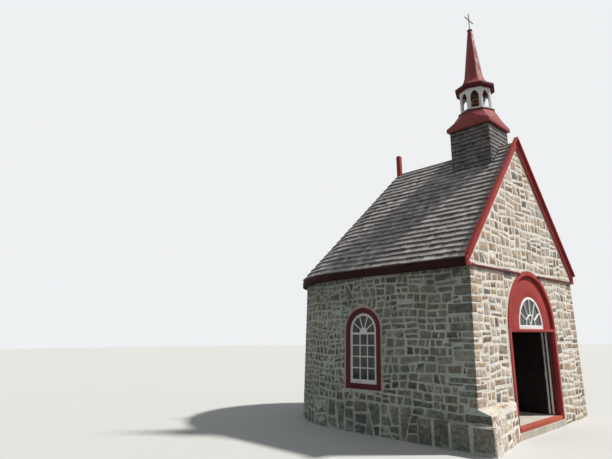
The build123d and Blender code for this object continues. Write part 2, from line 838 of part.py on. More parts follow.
# Bell bearers, hung from the spire eaves, with a bore for each gudgeon
bell_axis_z = lantern_top_z - bell_axis_drop
bearer_x = headstock_length / 2 + bearer_gap
bearer_bottom = bell_axis_z - bearer_below_axis
with BuildPart() as bell_bearers:
    for side in (-1, 1):
        with BuildSketch(side_face.offset(side * bearer_x)):
            with Locations((belfry_y, (bearer_bottom + lantern_top_z) / 2)):
                Rectangle(bearer_width, lantern_top_z - bearer_bottom)
            with Locations((belfry_y, bell_axis_z)):
                Circle(gudgeon_radius + gudgeon_play, mode=Mode.SUBTRACT)
        extrude(amount=side * bearer_thickness)
save(bell_bearers, "bell_bearers")

# Headstock with its gudgeons
with BuildPart() as bell_headstock:
    with BuildSketch(side_face.offset(-headstock_length / 2)):
        with Locations((belfry_y, bell_axis_z)):
            Rectangle(headstock_size, headstock_size)
    extrude(amount=headstock_length)
    with BuildSketch(side_face.offset(-bearer_x - bearer_thickness)):
        with Locations((belfry_y, bell_axis_z)):
            Circle(gudgeon_radius)
    extrude(amount=2 * (bearer_x + bearer_thickness))
save(bell_headstock, "bell_headstock")

# Bell, turned about the upright through its middle
bell_top_z = bell_axis_z - headstock_size / 2
bell_mouth_z = bell_top_z - bell_height
bell_shoulder_z = bell_top_z - bell_shoulder_drop
bell_waist_z = bell_top_z - bell_waist_drop
bell_upright = Axis((0, belfry_y, 0), (0, 0, 1))
with BuildPart() as bell:
    with BuildSketch(section_at(belfry_y)):
        with BuildLine():
            Polyline((0, bell_top_z), (bell_crown_radius, bell_top_z), (bell_shoulder_radius, bell_shoulder_z),
                     (bell_waist_radius, bell_waist_z), (bell_mouth_radius, bell_mouth_z),
                     (bell_mouth_radius - bell_wall, bell_mouth_z),
                     (bell_waist_radius - bell_wall, bell_waist_z),
                     (bell_crown_radius - bell_wall, bell_top_z - bell_wall), (0, bell_top_z - bell_wall),
                     close=True)
        make_face()
    revolve(axis=bell_upright)
save(bell, "bell")

# Clapper, hung inside the crown
clapper_top = bell_top_z - bell_wall
clapper_bottom = clapper_top - clapper_drop
with BuildPart() as bell_clapper:
    with BuildSketch(section_at(belfry_y)):
        with BuildLine():
            Polyline((0, clapper_top), (clapper_rod_radius, clapper_top),
                     (clapper_rod_radius, clapper_bottom + clapper_ball_radius),
                     (clapper_ball_radius, clapper_bottom),
                     (clapper_ball_radius, clapper_bottom - clapper_ball_radius),
                     (clapper_rod_radius, clapper_bottom - 2 * clapper_ball_radius),
                     (0, clapper_bottom - 2 * clapper_ball_radius), close=True)
        make_face()
    revolve(axis=bell_upright)
save(bell_clapper, "bell_clapper")
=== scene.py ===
"""Looks for the small rubble-stone chapel, built around its packed frame.

Single stones in lime mortar, a roof and belfry of wooden shingles, painted boards, doors, windows and a bell.
Metres, +Z up. The front looks along -Y, the round end is at +Y, and the left wall is at -X.
"""
import math
import random

import bmesh
import bpy
import numpy as np
from mathutils import Matrix, Vector, noise


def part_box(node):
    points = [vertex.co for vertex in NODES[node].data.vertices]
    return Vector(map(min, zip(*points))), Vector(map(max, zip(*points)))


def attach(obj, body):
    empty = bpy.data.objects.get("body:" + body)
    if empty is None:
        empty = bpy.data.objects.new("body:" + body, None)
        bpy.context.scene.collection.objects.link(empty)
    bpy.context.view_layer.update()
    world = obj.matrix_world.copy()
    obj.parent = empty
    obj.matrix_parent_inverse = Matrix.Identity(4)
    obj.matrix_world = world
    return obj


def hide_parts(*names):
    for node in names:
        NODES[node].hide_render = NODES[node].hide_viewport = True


bl_info = {
    "name": "Small Stone Chapel",
    "version": (1, 0, 0),
    "blender": (4, 5, 0),
    "location": "3D View > Sidebar > Chapel",
    "description": "Stones, shingles, paint, glass and a studio for the frame of a small stone chapel",
    "category": "Object",
}

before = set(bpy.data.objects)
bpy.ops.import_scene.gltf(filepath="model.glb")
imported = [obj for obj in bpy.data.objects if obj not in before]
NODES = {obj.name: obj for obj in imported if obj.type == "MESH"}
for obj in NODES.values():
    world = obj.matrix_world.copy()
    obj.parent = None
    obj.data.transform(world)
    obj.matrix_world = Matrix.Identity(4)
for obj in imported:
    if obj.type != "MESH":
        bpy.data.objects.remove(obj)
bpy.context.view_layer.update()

# Sizes of the frame that the pieces follow
HALF_WIDTH = 2.300
BATTER = 0.120
WALL_TOP = 3.0161
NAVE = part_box("roof_slope_left")[1].y
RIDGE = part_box("roof_slope_left")[1].z
EAVES_HALF = 2.420
EAVES_Z = 2.975
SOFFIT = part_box("eaves_boards")[0].z
ROOF_SLOPE = (RIDGE - EAVES_Z) / EAVES_HALF
RAKE_INNER = 5.520
RAKE_FACE = -0.045
DOOR_HALF = 1.085
DOOR_SPRING = 1.875
FANLIGHT_CENTRE = 1.909
WINDOW_LOW, WINDOW_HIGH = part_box("window_frames")
WINDOW_Y = (WINDOW_LOW.y + WINDOW_HIGH.y) / 2
WINDOW_HALF = 0.420
WINDOW_SILL = WINDOW_LOW.z
WINDOW_SPRING = 1.862
WINDOW_BAR_TOP = 1.817
WINDOW_BAR_BOTTOM = 1.781
FOOTING_TOP = 0.640
FOOTING_OUTER = (0.290, 0.200)
FOOTING_INNER = (0.050, 0.020)
LEDGE_TOP = 0.425
LEDGE_END = 1.050
LEDGE_WIDTH = 0.090
BELFRY_Y = 0.760
BELFRY_HALF = 0.430
STRAP_FACE = 0.983
LEAF_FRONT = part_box("door_leaf_right")[0].y
LEAF_STRIPES = ((LEAF_FRONT + 0.004, LEAF_FRONT + 0.040), (LEAF_FRONT + 0.076, LEAF_FRONT + 0.114))
STRING_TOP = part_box("string_course")[1].z
ROUND_RADIUS = 2.360
ROUND_LENGTH = math.pi * ROUND_RADIUS
STRIP_LENGTH = 2 * NAVE + ROUND_LENGTH
WALLS = ("front_pier_left", "front_pier_right", "front_gable", "side_wall_left", "side_wall_right",
         "apse_wall_left", "apse_wall_rear", "apse_wall_right")


def wall_half(z):
    """Half width of the body at a height."""
    return HALF_WIDTH + BATTER * (1 - z / WALL_TOP)


def roof_top(x):
    """Height of the roof boards at a distance from the ridge line."""
    return RIDGE - ROOF_SLOPE * abs(x)


def on_circle(radius, turn):
    """Point of a circle about zero."""
    return (radius * math.cos(turn), radius * math.sin(turn))


def paint_value(red, green, blue):
    """Linear colour of a paint-chart value from 0 to 255."""
    def linear(value):
        share = value / 255
        return share / 12.92 if share <= 0.04045 else ((share + 0.055) / 1.055) ** 2.4
    return (linear(red), linear(green), linear(blue))


def colour_property(name, description, chart):
    """Colour that a user may change."""
    return bpy.props.FloatVectorProperty(name=name, description=description, default=paint_value(*chart),
                                         subtype="COLOR", size=3, min=0, max=1)


def length_property(name, description, default):
    """Length in metres that a user may change."""
    return bpy.props.FloatProperty(name=name, description=description, default=default, min=0.0005, max=2,
                                   unit="LENGTH", subtype="DISTANCE")


def area_property(name, description, default):
    """Area in square metres that a user may change."""
    return bpy.props.FloatProperty(name=name, description=description, default=default, min=0.002, max=1,
                                   precision=3)


class ChapelWallSettings(bpy.types.PropertyGroup):
    """Sizes and colours of the stonework"""
    front_size: area_property("Front Stone Size", "Mean face of a stone on the front", 0.050)
    corner_size: area_property("Corner Stone Size", "Mean face of a stone near a front corner", 0.036)
    side_size: area_property("Side Stone Size", "Mean face of a stone on the side walls", 0.027)
    round_size: area_property("Round End Stone Size", "Mean face of a stone on the round end", 0.0225)
    boulder_size: area_property("Boulder Size", "Mean face of a boulder at the foot of the walls", 0.085)
    front_joint: length_property("Front Joint", "Width of the mortar joints on the front", 0.033)
    side_joint: length_property("Side Joint", "Width of the mortar joints on the side walls", 0.022)
    mortar_depth: length_property("Mortar Depth", "How far the mortar lies behind the stones' face", 0.006)
    front_mortar: colour_property("Front Mortar", "Lime mortar on the front", (241, 236, 229))
    # Side mortar: the front's lime mortar, made darker and greener as painted shade and green bounce light.
    side_mortar: colour_property("Side Mortar", "Weathered mortar on the side walls", (200, 206, 198))
    # Footing mortar: darker than the front's mortar, as painted shade on the footing's sunlit top.
    foot_mortar: colour_property("Footing Mortar", "Dirty mortar on top of the footing", (206, 199, 186))
    lime_band: colour_property("Lime Band", "Lime line along the gable and round the arch", (232, 226, 216))
    window_band: colour_property("Window Band", "Pinkish mortar round the side windows", (196, 178, 170))
    plaster: colour_property("Plaster", "Plaster on the inside of the walls", (222, 222, 218))
    seed: bpy.props.IntProperty(name="Seed", description="Seed of the stones' layout", default=7, min=0)


class ChapelShingleSettings(bpy.types.PropertyGroup):
    """Sizes and colours of the shingles"""
    exposure: length_property("Exposure", "Height of each row that shows", 0.148)
    belfry_exposure: length_property("Belfry Exposure", "Height of each row that shows on the belfry", 0.088)
    width: length_property("Width", "Mean width of a shingle", 0.125)
    butt: length_property("Butt Thickness", "Thickness of a shingle at its lower end", 0.018)
    weathered: colour_property("Weathered Wood", "Grey of the weathered shingles", (150, 146, 145))
    # Pale lower ends: bleaching, and painted highlight of the butts in grazing light.
    pale: colour_property("Pale Wood", "Bleached lower ends of the shingles", (224, 216, 214))
    dark: colour_property("Dark Wood", "Darkest shingles and the shade between them", (66, 65, 66))
    seed: bpy.props.IntProperty(name="Seed", description="Seed of the shingles' layout", default=19, min=0)


class ChapelPaintSettings(bpy.types.PropertyGroup):
    """Paints and metals of the boards, doors, windows and belfry"""
    red: colour_property("Red Paint", "Boards and door frame", (170, 72, 70))
    # Belfry paint: faded, and made paler and pinker as painted sky sheen.
    belfry_red: colour_property("Belfry Paint", "Faded paint of the skirt roof and spire", (158, 84, 86))
    dark_red: colour_property("Dark Red Paint", "Window frames and string course", (108, 54, 58))
    # Eaves boards: paint darkened as painted shade under the roof's overhang.
    eaves_red: colour_property("Eaves Paint", "Grimy boards under the eaves", (60, 36, 38))
    sill_red: colour_property("Threshold Paint", "Worn orange-red of the threshold", (184, 94, 78))
    white: colour_property("White Paint", "Lantern, sashes and fanlight", (247, 248, 247))
    dark: colour_property("Dark Paint", "Door leaves", (48, 44, 44))
    iron: colour_property("Iron", "Hinges, pintles and cross", (34, 34, 38))
    bell: colour_property("Bell Metal", "Bell and clapper", (168, 124, 66))
    # Glass: a greenish tint, darkened and partly diffuse as painted reflection and shade.
    glass: colour_property("Glass", "Panes", (92, 104, 98))
    floor_stone: colour_property("Floor Stone", "Flagstones and sill", (205, 198, 186))


class ChapelStageSettings(bpy.types.PropertyGroup):
    """Studio floor and light"""
    floor: colour_property("Floor", "Plain studio floor", (196, 196, 194))
    bounce: colour_property("Bounce", "Floor as the chapel sees it, dark enough not to light it from below",
                            (122, 120, 114))
    backdrop: colour_property("Backdrop", "Plain background", (238, 240, 242))
    key: bpy.props.FloatProperty(name="Key", description="Strength of the key light", default=4.6, min=0)
    fill: bpy.props.FloatProperty(name="Fill", description="Strength of the light from all round",
                                  default=0.30, min=0)


# Materials

PLAIN = (1.0, 1.0, 1.0)
UPRIGHT_GRAIN = (1.0, 1.0, 0.12)
DEEP_GRAIN = (1.0, 0.12, 1.0)
RAKE_GRAIN = (0.3, 1.0, 0.3)
SILL_GRAIN = (0.12, 1.0, 1.0)


class Tree:
    """Node tree that is put together in order."""

    def __init__(self, tree):
        self.tree = tree
        self.nodes = tree.nodes

    def feed(self, socket, value):
        """Link a socket to another, or set its value."""
        if isinstance(value, bpy.types.NodeSocket):
            self.tree.links.new(value, socket)
        elif isinstance(value, tuple) and len(value) == 3 and len(socket.default_value) == 4:
            socket.default_value = (*value, 1)
        else:
            socket.default_value = value

    def add(self, kind, inputs=None, **values):
        node = self.nodes.new(kind)
        for name, value in values.items():
            setattr(node, name, value)
        for name, value in (inputs or {}).items():
            self.feed(node.inputs[name], value)
        return node

    def get(self, kind, output, inputs=None, **values):
        """One output of a new node."""
        return self.add(kind, inputs, **values).outputs[output]

    def math(self, first, second, operation="MULTIPLY"):
        return self.get("ShaderNodeMath", 0, {0: first, 1: second}, operation=operation)


class Finish(Tree):
    """Node material that is put together from the middle outwards."""

    def __init__(self, name, **sockets):
        self.material = bpy.data.materials.new(name)
        self.material.use_nodes = True
        super().__init__(self.material.node_tree)
        self.place = self.get("ShaderNodeTexCoord", "Object")
        self.set(**sockets)

    def grain(self, scale, detail, roughness, stretch=None):
        """Noise from 0 to 1, drawn out along the axes if a stretch is given."""
        place = self.place
        if stretch:
            place = self.get("ShaderNodeMapping", "Vector", {"Vector": place, "Scale": stretch})
        return self.get("ShaderNodeTexNoise", "Fac", {
            "Vector": place, "Scale": scale, "Detail": detail, "Roughness": roughness})

    def along_axis(self, axis):
        return self.get("ShaderNodeSeparateXYZ", axis, {"Vector": self.place})

    def own(self, name):
        """The piece's own attribute."""
        return self.get("ShaderNodeAttribute", "Fac", attribute_name=name)

    def span(self, value, low, high, to_low=0.0, to_high=1.0):
        """Value moved from one range to another, and held within it."""
        return self.get("ShaderNodeMapRange", "Result", {
            "Value": value, "From Min": low, "From Max": high, "To Min": to_low, "To Max": to_high})

    def ramp(self, value, *stops):
        """Colour along a scale of (place, colour) stops."""
        node = self.add("ShaderNodeValToRGB", {"Fac": value})
        elements = node.color_ramp.elements
        while len(elements) < len(stops):
            elements.new(0.5)
        for element, (position, colour) in zip(elements, stops):
            element.position = position
            element.color = (*colour, 1)
        return node.outputs["Color"]

    def blend(self, share, first, second, kind="MIX"):
        inputs = {0: share, 6: first, 7: second}
        return self.get("ShaderNodeMix", 2, inputs, data_type="RGBA", blend_type=kind)

    def tint(self, share, base, value, *stops):
        """Base multiplied by the colour along a scale."""
        return self.blend(share, base, self.ramp(value, *stops), "MULTIPLY")

    def relief(self, height, strength, depth, **under):
        """Normals over a height, and over the Normal of an earlier relief if one is given."""
        return self.get("ShaderNodeBump", "Normal", {
            "Strength": strength, "Distance": depth, "Height": height, **under})

    def set(self, **sockets):
        """Feed the shader's sockets, named with underscores for their spaces."""
        for name, value in sockets.items():
            self.feed(self.nodes["Principled BSDF"].inputs[name.replace("_", " ")], value)
        return self.material


def shade(colour, red, green=None, blue=None):
    """Colour made lighter or darker, or with a factor for each of its parts."""
    factors = (red, red if green is None else green, red if blue is None else blue)
    return tuple(min(1.0, part * factor) for part, factor in zip(colour, factors))


def olive_towards_eaves(finish, base):
    """Colour with olive blotches, more of them up towards the eaves."""
    share = finish.math(finish.span(finish.along_axis("Z"), SOFFIT - 1.0, SOFFIT),
                        finish.span(finish.grain(1.7, 5, 0.65), 0.40, 0.60, 0.0, 0.55))
    return finish.blend(share, base, paint_value(84, 86, 58))


def stone_finish(name, smear, stops, mossy=False):
    """Rubble: a colour for each stone, bedding streaks, blotches, spots and a lime smear at its rim."""
    finish = Finish(name, Roughness=0.86)
    base = finish.ramp(finish.own("tone"), *stops)
    base = finish.tint(0.75, base, finish.grain(7, 5, 0.6, (1.0, 1.0, 4.5)), (0.28, (0.50, 0.49, 0.47)),
                       (0.5, (0.97, 0.96, 0.94)), (0.75, (1.35, 1.33, 1.28)))
    base = finish.tint(0.85, base, finish.grain(16, 5, 0.75), (0.36, (0.50, 0.49, 0.48)), (0.5, PLAIN),
                       (0.66, (1.5, 1.48, 1.42)))
    base = finish.tint(0.5, base, finish.grain(46, 3, 0.7), (0.3, (0.55, 0.55, 0.54)), (0.5, PLAIN),
                       (0.72, (1.2, 1.2, 1.18)))
    rim = finish.math(finish.span(finish.own("rim"), 0.0, 1.0, 0.0, 0.9),
                      finish.span(finish.grain(16, 4, 0.65), 0.35, 0.75))
    patch = finish.math(finish.span(finish.grain(2.7, 5, 0.62), 0.52, 0.66, 0.0, 0.8),
                        finish.span(finish.grain(24, 4, 0.7), 0.38, 0.62))
    for share in (rim, patch):
        base = finish.blend(share, base, smear)
    if mossy:
        base = olive_towards_eaves(finish, base)
    rough = finish.relief(finish.grain(95, 5, 0.7), 0.55, 0.006)
    pitted = finish.relief(finish.grain(17, 6, 0.62), 0.75, 0.022, Normal=rough)
    return finish.set(Base_Color=base, Normal=pitted)


def mortar_finish(name, colour, mossy=False):
    """Sandy lime mortar, with stains and fine cracks."""
    finish = Finish(name, Roughness=0.94)
    base = finish.ramp(finish.grain(2.2, 5, 0.6), (0.25, shade(colour, 0.74)), (0.5, shade(colour, 0.97)),
                       (0.8, shade(colour, 1.1)))
    base = finish.tint(0.7, base, finish.grain(130, 2, 0.6), (0.3, (0.8, 0.79, 0.77)),
                       (0.55, (1.02, 1.02, 1.02)))
    base = finish.tint(0.8, base, finish.grain(13, 5, 0.75), (0.36, (0.66, 0.65, 0.63)), (0.5, PLAIN),
                       (0.66, (1.14, 1.13, 1.12)))
    if mossy:
        base = olive_towards_eaves(finish, base)
    fine = finish.relief(finish.grain(150, 3, 0.65), 0.5, 0.004)
    trowelled = finish.relief(finish.grain(11, 5, 0.6), 0.8, 0.02, Normal=fine)
    return finish.set(Base_Color=base, Normal=trowelled)


def shingle_finish(name, weathered, dark_wood, pale_wood, strength):
    """Weathered shingles: a grey for each, grain streaks, lower ends pale from bleaching and painted
    highlight, painted shade below the butts.
    """
    finish = Finish(name, Roughness=0.88)
    dark = shade(dark_wood, strength)
    grey = shade(weathered, strength)
    pale = shade(pale_wood, strength)
    along = finish.own("along")
    base = finish.ramp(finish.own("tone"), (0.0, shade(dark, 1.15)), (0.25, shade(grey, 0.62)), (0.6, grey),
                       (1.0, shade(pale, 0.82)))
    place = finish.get("ShaderNodeCombineXYZ", "Vector", {
        "X": finish.own("grain"), "Y": finish.math(along, 0.35)})
    streaks = finish.get("ShaderNodeTexNoise", "Fac", {"Vector": place, "Scale": 5.0, "Detail": 5.0},
                         noise_dimensions="2D")
    base = finish.tint(0.8, base, streaks, (0.3, (0.58, 0.57, 0.56)), (0.52, PLAIN),
                       (0.75, (1.28, 1.27, 1.25)))
    # Lower ends pale from bleaching and painted highlight.
    low_end_bleach_and_highlight = finish.math(finish.span(along, 0.0, 0.42, 1.0, 0.0),
                          finish.span(finish.grain(5, 3, 0.6), 0.3, 0.7, 0.35, 0.85))
    moss = finish.span(finish.grain(1.1, 4, 0.6), 0.52, 0.78, 0.0, 0.32)
    # Pale ends, a band of painted shade just below the next row's butts, and moss.
    for share, colour in ((low_end_bleach_and_highlight, pale), (finish.span(along, 0.45, 0.75, 0.0, 0.7), shade(dark, 0.8)),
                          (moss, shade(dark, 1.15, 1.2, 1.0))):
        base = finish.blend(share, base, colour)
    return finish.set(Base_Color=base, Normal=finish.relief(streaks, 0.6, 0.006))


def paint_finish(name, colour, gloss, wear, grain_turn=UPRIGHT_GRAIN, stripes=(), stripe_colour=PLAIN):
    """Oil paint on boards: brush and grain lines, faded patches, grime, bare flecks, and any stripes."""
    finish = Finish(name, Specular_IOR_Level=0.07)
    base = finish.ramp(finish.grain(1.6, 4, 0.6), (0.25, shade(colour, 0.80)), (0.5, colour),
                       (0.78, shade(shade(colour, 1.04, 1.10, 1.10), 1.06)))
    lines = finish.grain(58, 3, 0.6, grain_turn)
    base = finish.tint(0.35, base, lines, (0.3, (0.72, 0.71, 0.70)), (0.6, (1.08, 1.08, 1.08)))
    grime = finish.span(finish.grain(5.5, 6, 0.68), 0.54, 0.78, 0.0, 0.5 * wear)
    base = finish.blend(grime, base, shade(colour, 0.42))
    for low, high in stripes:
        y = finish.along_axis("Y")
        inside = finish.math(finish.span(y, low - 0.002, low), finish.span(y, high, high + 0.002, 1.0, 0.0))
        base = finish.blend(inside, base, tuple(stripe_colour))
    flecks = finish.span(finish.grain(70, 2, 0.5), 0.73, 0.77, 0.0, 0.45 * wear)
    base = finish.blend(flecks, base, paint_value(150, 136, 122))
    uneven = finish.relief(finish.grain(14, 3, 0.5), 0.25, 0.004, Normal=finish.relief(lines, 0.35, 0.003))
    rough = finish.span(finish.grain(9, 4, 0.6), 0.3, 0.7, max(0.2, gloss - 0.12), min(1.0, gloss + 0.2))
    return finish.set(Base_Color=base, Normal=uneven, Roughness=rough)


def iron_finish(name, colour):
    """Forged iron with a dark skin and rust in its pits."""
    finish = Finish(name, Metallic=0.35)
    base = finish.ramp(finish.grain(22, 5, 0.65), (0.35, shade(colour, 0.6)), (0.55, colour),
                       (0.75, paint_value(104, 66, 46)))
    hammered = finish.relief(finish.grain(48, 3, 0.5), 0.5, 0.004)
    rough = finish.span(finish.grain(30, 3, 0.6), 0.3, 0.7, 0.42, 0.75)
    return finish.set(Base_Color=base, Normal=hammered, Roughness=rough)


def bell_finish(name, colour):
    """Bronze with a brown skin and green in the hollows."""
    finish = Finish(name, Metallic=0.85)
    skin = finish.ramp(finish.grain(12, 4, 0.6), (0.3, shade(colour, 0.45)), (0.55, colour),
                       (0.8, shade(colour, 1.25)))
    green = finish.span(finish.grain(20, 5, 0.7), 0.58, 0.74, 0.0, 0.5)
    base = finish.blend(green, skin, paint_value(96, 118, 96))
    cast = finish.relief(finish.grain(85, 3, 0.6), 0.3, 0.002)
    return finish.set(Base_Color=base, Normal=cast, Roughness=finish.span(green, 0.0, 0.5, 0.34, 0.7))


def glass_finish(name, colour):
    """Old window glass with faint waves and a little dust; its dark greenish grey, partly diffuse, holds
    painted reflection and shade.
    """
    finish = Finish(name, Roughness=0.04, Transmission_Weight=0.6, IOR=1.45, Specular_IOR_Level=0.2)
    base = finish.ramp(finish.grain(3.1, 3, 0.6), (0.36, shade(colour, 0.4)), (0.5, colour),
                       (0.62, shade(colour, 1.7, 1.05, 0.7)))
    return finish.set(Base_Color=base, Normal=finish.relief(finish.grain(5, 2, 0.4), 0.12, 0.004))


def flagstone_finish(name, colour):
    """Pale worn flagstones, laid in bond."""
    finish = Finish(name, Roughness=0.72)
    bond = finish.add("ShaderNodeTexBrick", {
        "Vector": finish.place, "Color1": colour, "Color2": shade(colour, 0.86),
        "Mortar": shade(colour, 0.55), "Scale": 1.0, "Mortar Size": 0.008, "Brick Width": 0.62,
        "Row Height": 0.44})
    base = finish.tint(0.8, bond.outputs["Color"], finish.grain(6, 6, 0.65), (0.3, (0.72, 0.71, 0.69)),
                       (0.6, (1.05, 1.05, 1.04)))
    sunk = finish.relief(finish.span(bond.outputs["Fac"], 0.0, 1.0, 1.0, 0.0), 0.7, 0.006)
    rough = finish.relief(finish.grain(26, 5, 0.6), 0.4, 0.006, Normal=sunk)
    return finish.set(Base_Color=base, Normal=rough)


def raw_wood_finish(name, colour):
    """Sawn wood that has gone grey-brown under the roof."""
    finish = Finish(name, Roughness=0.85)
    lines = finish.grain(30, 5, 0.6, (1.0, 0.1, 1.0))
    base = finish.ramp(lines, (0.3, shade(colour, 0.6)), (0.55, colour), (0.8, shade(colour, 1.3)))
    return finish.set(Base_Color=base, Normal=finish.relief(lines, 0.5, 0.004))


def charted(*rows):
    """Stops of a scale from rows of a place and a paint-chart value."""
    return [(place, paint_value(*chart)) for place, *chart in rows]


FRONT_STONES = charted(
    (0.00, 114, 102, 92), (0.10, 142, 114, 88), (0.20, 180, 152, 122), (0.34, 198, 180, 156),
    (0.50, 213, 201, 185), (0.62, 180, 173, 164), (0.74, 202, 189, 171), (0.86, 166, 138, 112),
    (0.94, 152, 147, 140), (1.00, 106, 100, 94))
# Side stones: darker and greener than the front's, as painted shade and green bounce light.
PAINTED_SHADE_SIDE_STONES = charted(
    (0.00, 82, 86, 84), (0.12, 106, 108, 100), (0.28, 124, 128, 116), (0.44, 142, 144, 132),
    (0.56, 130, 120, 104), (0.66, 118, 120, 110), (0.78, 150, 154, 142), (0.90, 128, 112, 94),
    (0.96, 110, 110, 104), (1.00, 88, 84, 78))


def material(finish):
    """The chapel's material for a finish, made at its first use and named apart from the frame's slots."""
    name = "chapel_" + finish
    if name in bpy.data.materials:
        return bpy.data.materials[name]
    scene = bpy.context.scene
    wall = scene.chapel_wall
    wood = scene.chapel_shingles
    paint = scene.chapel_paint
    makers = {
        "front_stone": (stone_finish, wall.front_mortar, FRONT_STONES),
        # Side finishes: the front's stone and mortar, with painted shade.
        "side_stone": (stone_finish, wall.side_mortar, PAINTED_SHADE_SIDE_STONES, True),
        "front_mortar": (mortar_finish, wall.front_mortar),
        "side_mortar": (mortar_finish, wall.side_mortar, True),
        "foot_mortar": (mortar_finish, wall.foot_mortar),
        "lime_band": (mortar_finish, wall.lime_band),
        "window_band": (mortar_finish, wall.window_band),
        "plaster": (mortar_finish, wall.plaster),
        "shingle": (shingle_finish, wood.weathered, wood.dark, wood.pale, 1.0),
        "belfry_shingle": (shingle_finish, wood.weathered, wood.dark, wood.pale, 0.5),
        "red_paint": (paint_finish, paint.red, 0.58, 0.5),
        "rake_paint": (paint_finish, paint.red, 0.55, 0.4, RAKE_GRAIN),
        # The eaves paint is darkened as painted shade.
        "eaves_paint": (paint_finish, paint.eaves_red, 0.65, 0.6, DEEP_GRAIN),
        "dark_red_paint": (paint_finish, paint.dark_red, 0.5, 0.5, DEEP_GRAIN),
        "threshold_paint": (paint_finish, paint.sill_red, 0.6, 1.0, SILL_GRAIN),
        "white_paint": (paint_finish, paint.white, 0.42, 0.25),
        "belfry_paint": (paint_finish, paint.belfry_red, 0.55, 0.5),
        "leaf_paint": (paint_finish, paint.dark, 0.45, 0.4, UPRIGHT_GRAIN, LEAF_STRIPES, paint.white),
        "iron": (iron_finish, paint.iron),
        "bell_metal": (bell_finish, paint.bell),
        "glass": (glass_finish, paint.glass),
        "flagstone": (flagstone_finish, paint.floor_stone),
        "raw_wood": (raw_wood_finish, paint_value(112, 98, 82)),
        "mossy_wood": (raw_wood_finish, paint_value(86, 88, 76)),
    }
    maker, colour, *values = makers[finish]
    return maker(name, tuple(colour), *values)


# Pieces

FACING = 0.9
MERGE = 0.00002


def dress(node, finish):
    """Give a frame node a material."""
    for slot in NODES[node].material_slots:
        slot.material = material(finish)


def add_piece(mesh, name, slot, finishes=(), stands_for=(), body="building"):
    """Put a finished mesh into the scene as a piece that moves with a body."""
    mesh.name = name
    for finish in finishes:
        mesh.materials.append(material(finish))
    piece = bpy.data.objects.new(name, mesh)
    bpy.context.scene.collection.objects.link(piece)
    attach(piece, body)
    if stands_for:
        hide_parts(*stands_for)


def mesh_of(bm):
    """Turn a bmesh into a mesh and let go of it."""
    mesh = bpy.data.meshes.new("piece")
    bm.to_mesh(mesh)
    bm.free()
    return mesh


def mesh_from(points, edges=()):
    """Mesh of bare points and edges."""
    mesh = bpy.data.meshes.new("layout")
    mesh.from_pydata([tuple(point) for point in points], edges, [])
    return mesh


def store(mesh, name, domain, values):
    """Give each part of a mesh its own number or vector."""
    if isinstance(values[0], tuple):
        layer = mesh.attributes.new(name, "FLOAT_VECTOR", domain)
        layer.data.foreach_set("vector", [part for row in values for part in row])
    else:
        layer = mesh.attributes.new(name, "FLOAT", domain)
        layer.data.foreach_set("value", values)


def paint_faces(bm, index_of):
    """Give each face the place of its finish in the piece's list."""
    bm.normal_update()
    for face in bm.faces:
        face.material_index = index_of(face)


def node_copy(node):
    """The node's mesh as a bmesh, with its loose triangles joined."""
    bm = bmesh.new()
    bm.from_mesh(NODES[node].data)
    bmesh.ops.remove_doubles(bm, verts=bm.verts, dist=MERGE)
    bmesh.ops.dissolve_limit(bm, angle_limit=math.radians(0.6), verts=bm.verts, edges=bm.edges)
    return bm


def sharpen(bm, degrees=35):
    """Smooth faces, with hard edges kept."""
    for face in bm.faces:
        face.smooth = True
    for edge in bm.edges:
        if len(edge.link_faces) == 2:
            edge.smooth = edge.calc_face_angle(0) < math.radians(degrees)


def ease(bm, edges, offset, profile=0.6):
    """Round off edges in two steps."""
    bmesh.ops.bevel(bm, geom=edges, offset=offset, segments=2, profile=profile, affect="EDGES",
                    clamp_overlap=True)


def softened(node, name, finish, bevel=0.004, slot=None, body="building", change=None):
    """Copy of a frame node with its edges eased, which stands for it."""
    bm = node_copy(node)
    if change:
        change(bm)
    ease(bm, [edge for edge in bm.edges
              if len(edge.link_faces) == 2 and edge.calc_face_angle(0) > math.radians(28)], bevel)
    bmesh.ops.remove_doubles(bm, verts=bm.verts, dist=MERGE)
    sharpen(bm)
    add_piece(mesh_of(bm), name, slot or finish, (finish,), (node,), body)


def inset_copy(node, depth, is_outer):
    """Copy of a node with its outer faces moved in by a depth."""
    bm = node_copy(node)
    bm.normal_update()
    moves = {}
    for vert in bm.verts:
        rows = [tuple(face.normal) for face in vert.link_faces]
        sizes = [-depth if is_outer(face) else 0.0 for face in vert.link_faces]
        moves[vert] = Vector(np.linalg.lstsq(np.array(rows), np.array(sizes), rcond=0.02)[0])
    for vert, move in moves.items():
        if move.length < 6 * depth:
            vert.co += move
            vert.co.z = max(0.0, vert.co.z)
    return bm


# Geometry Nodes

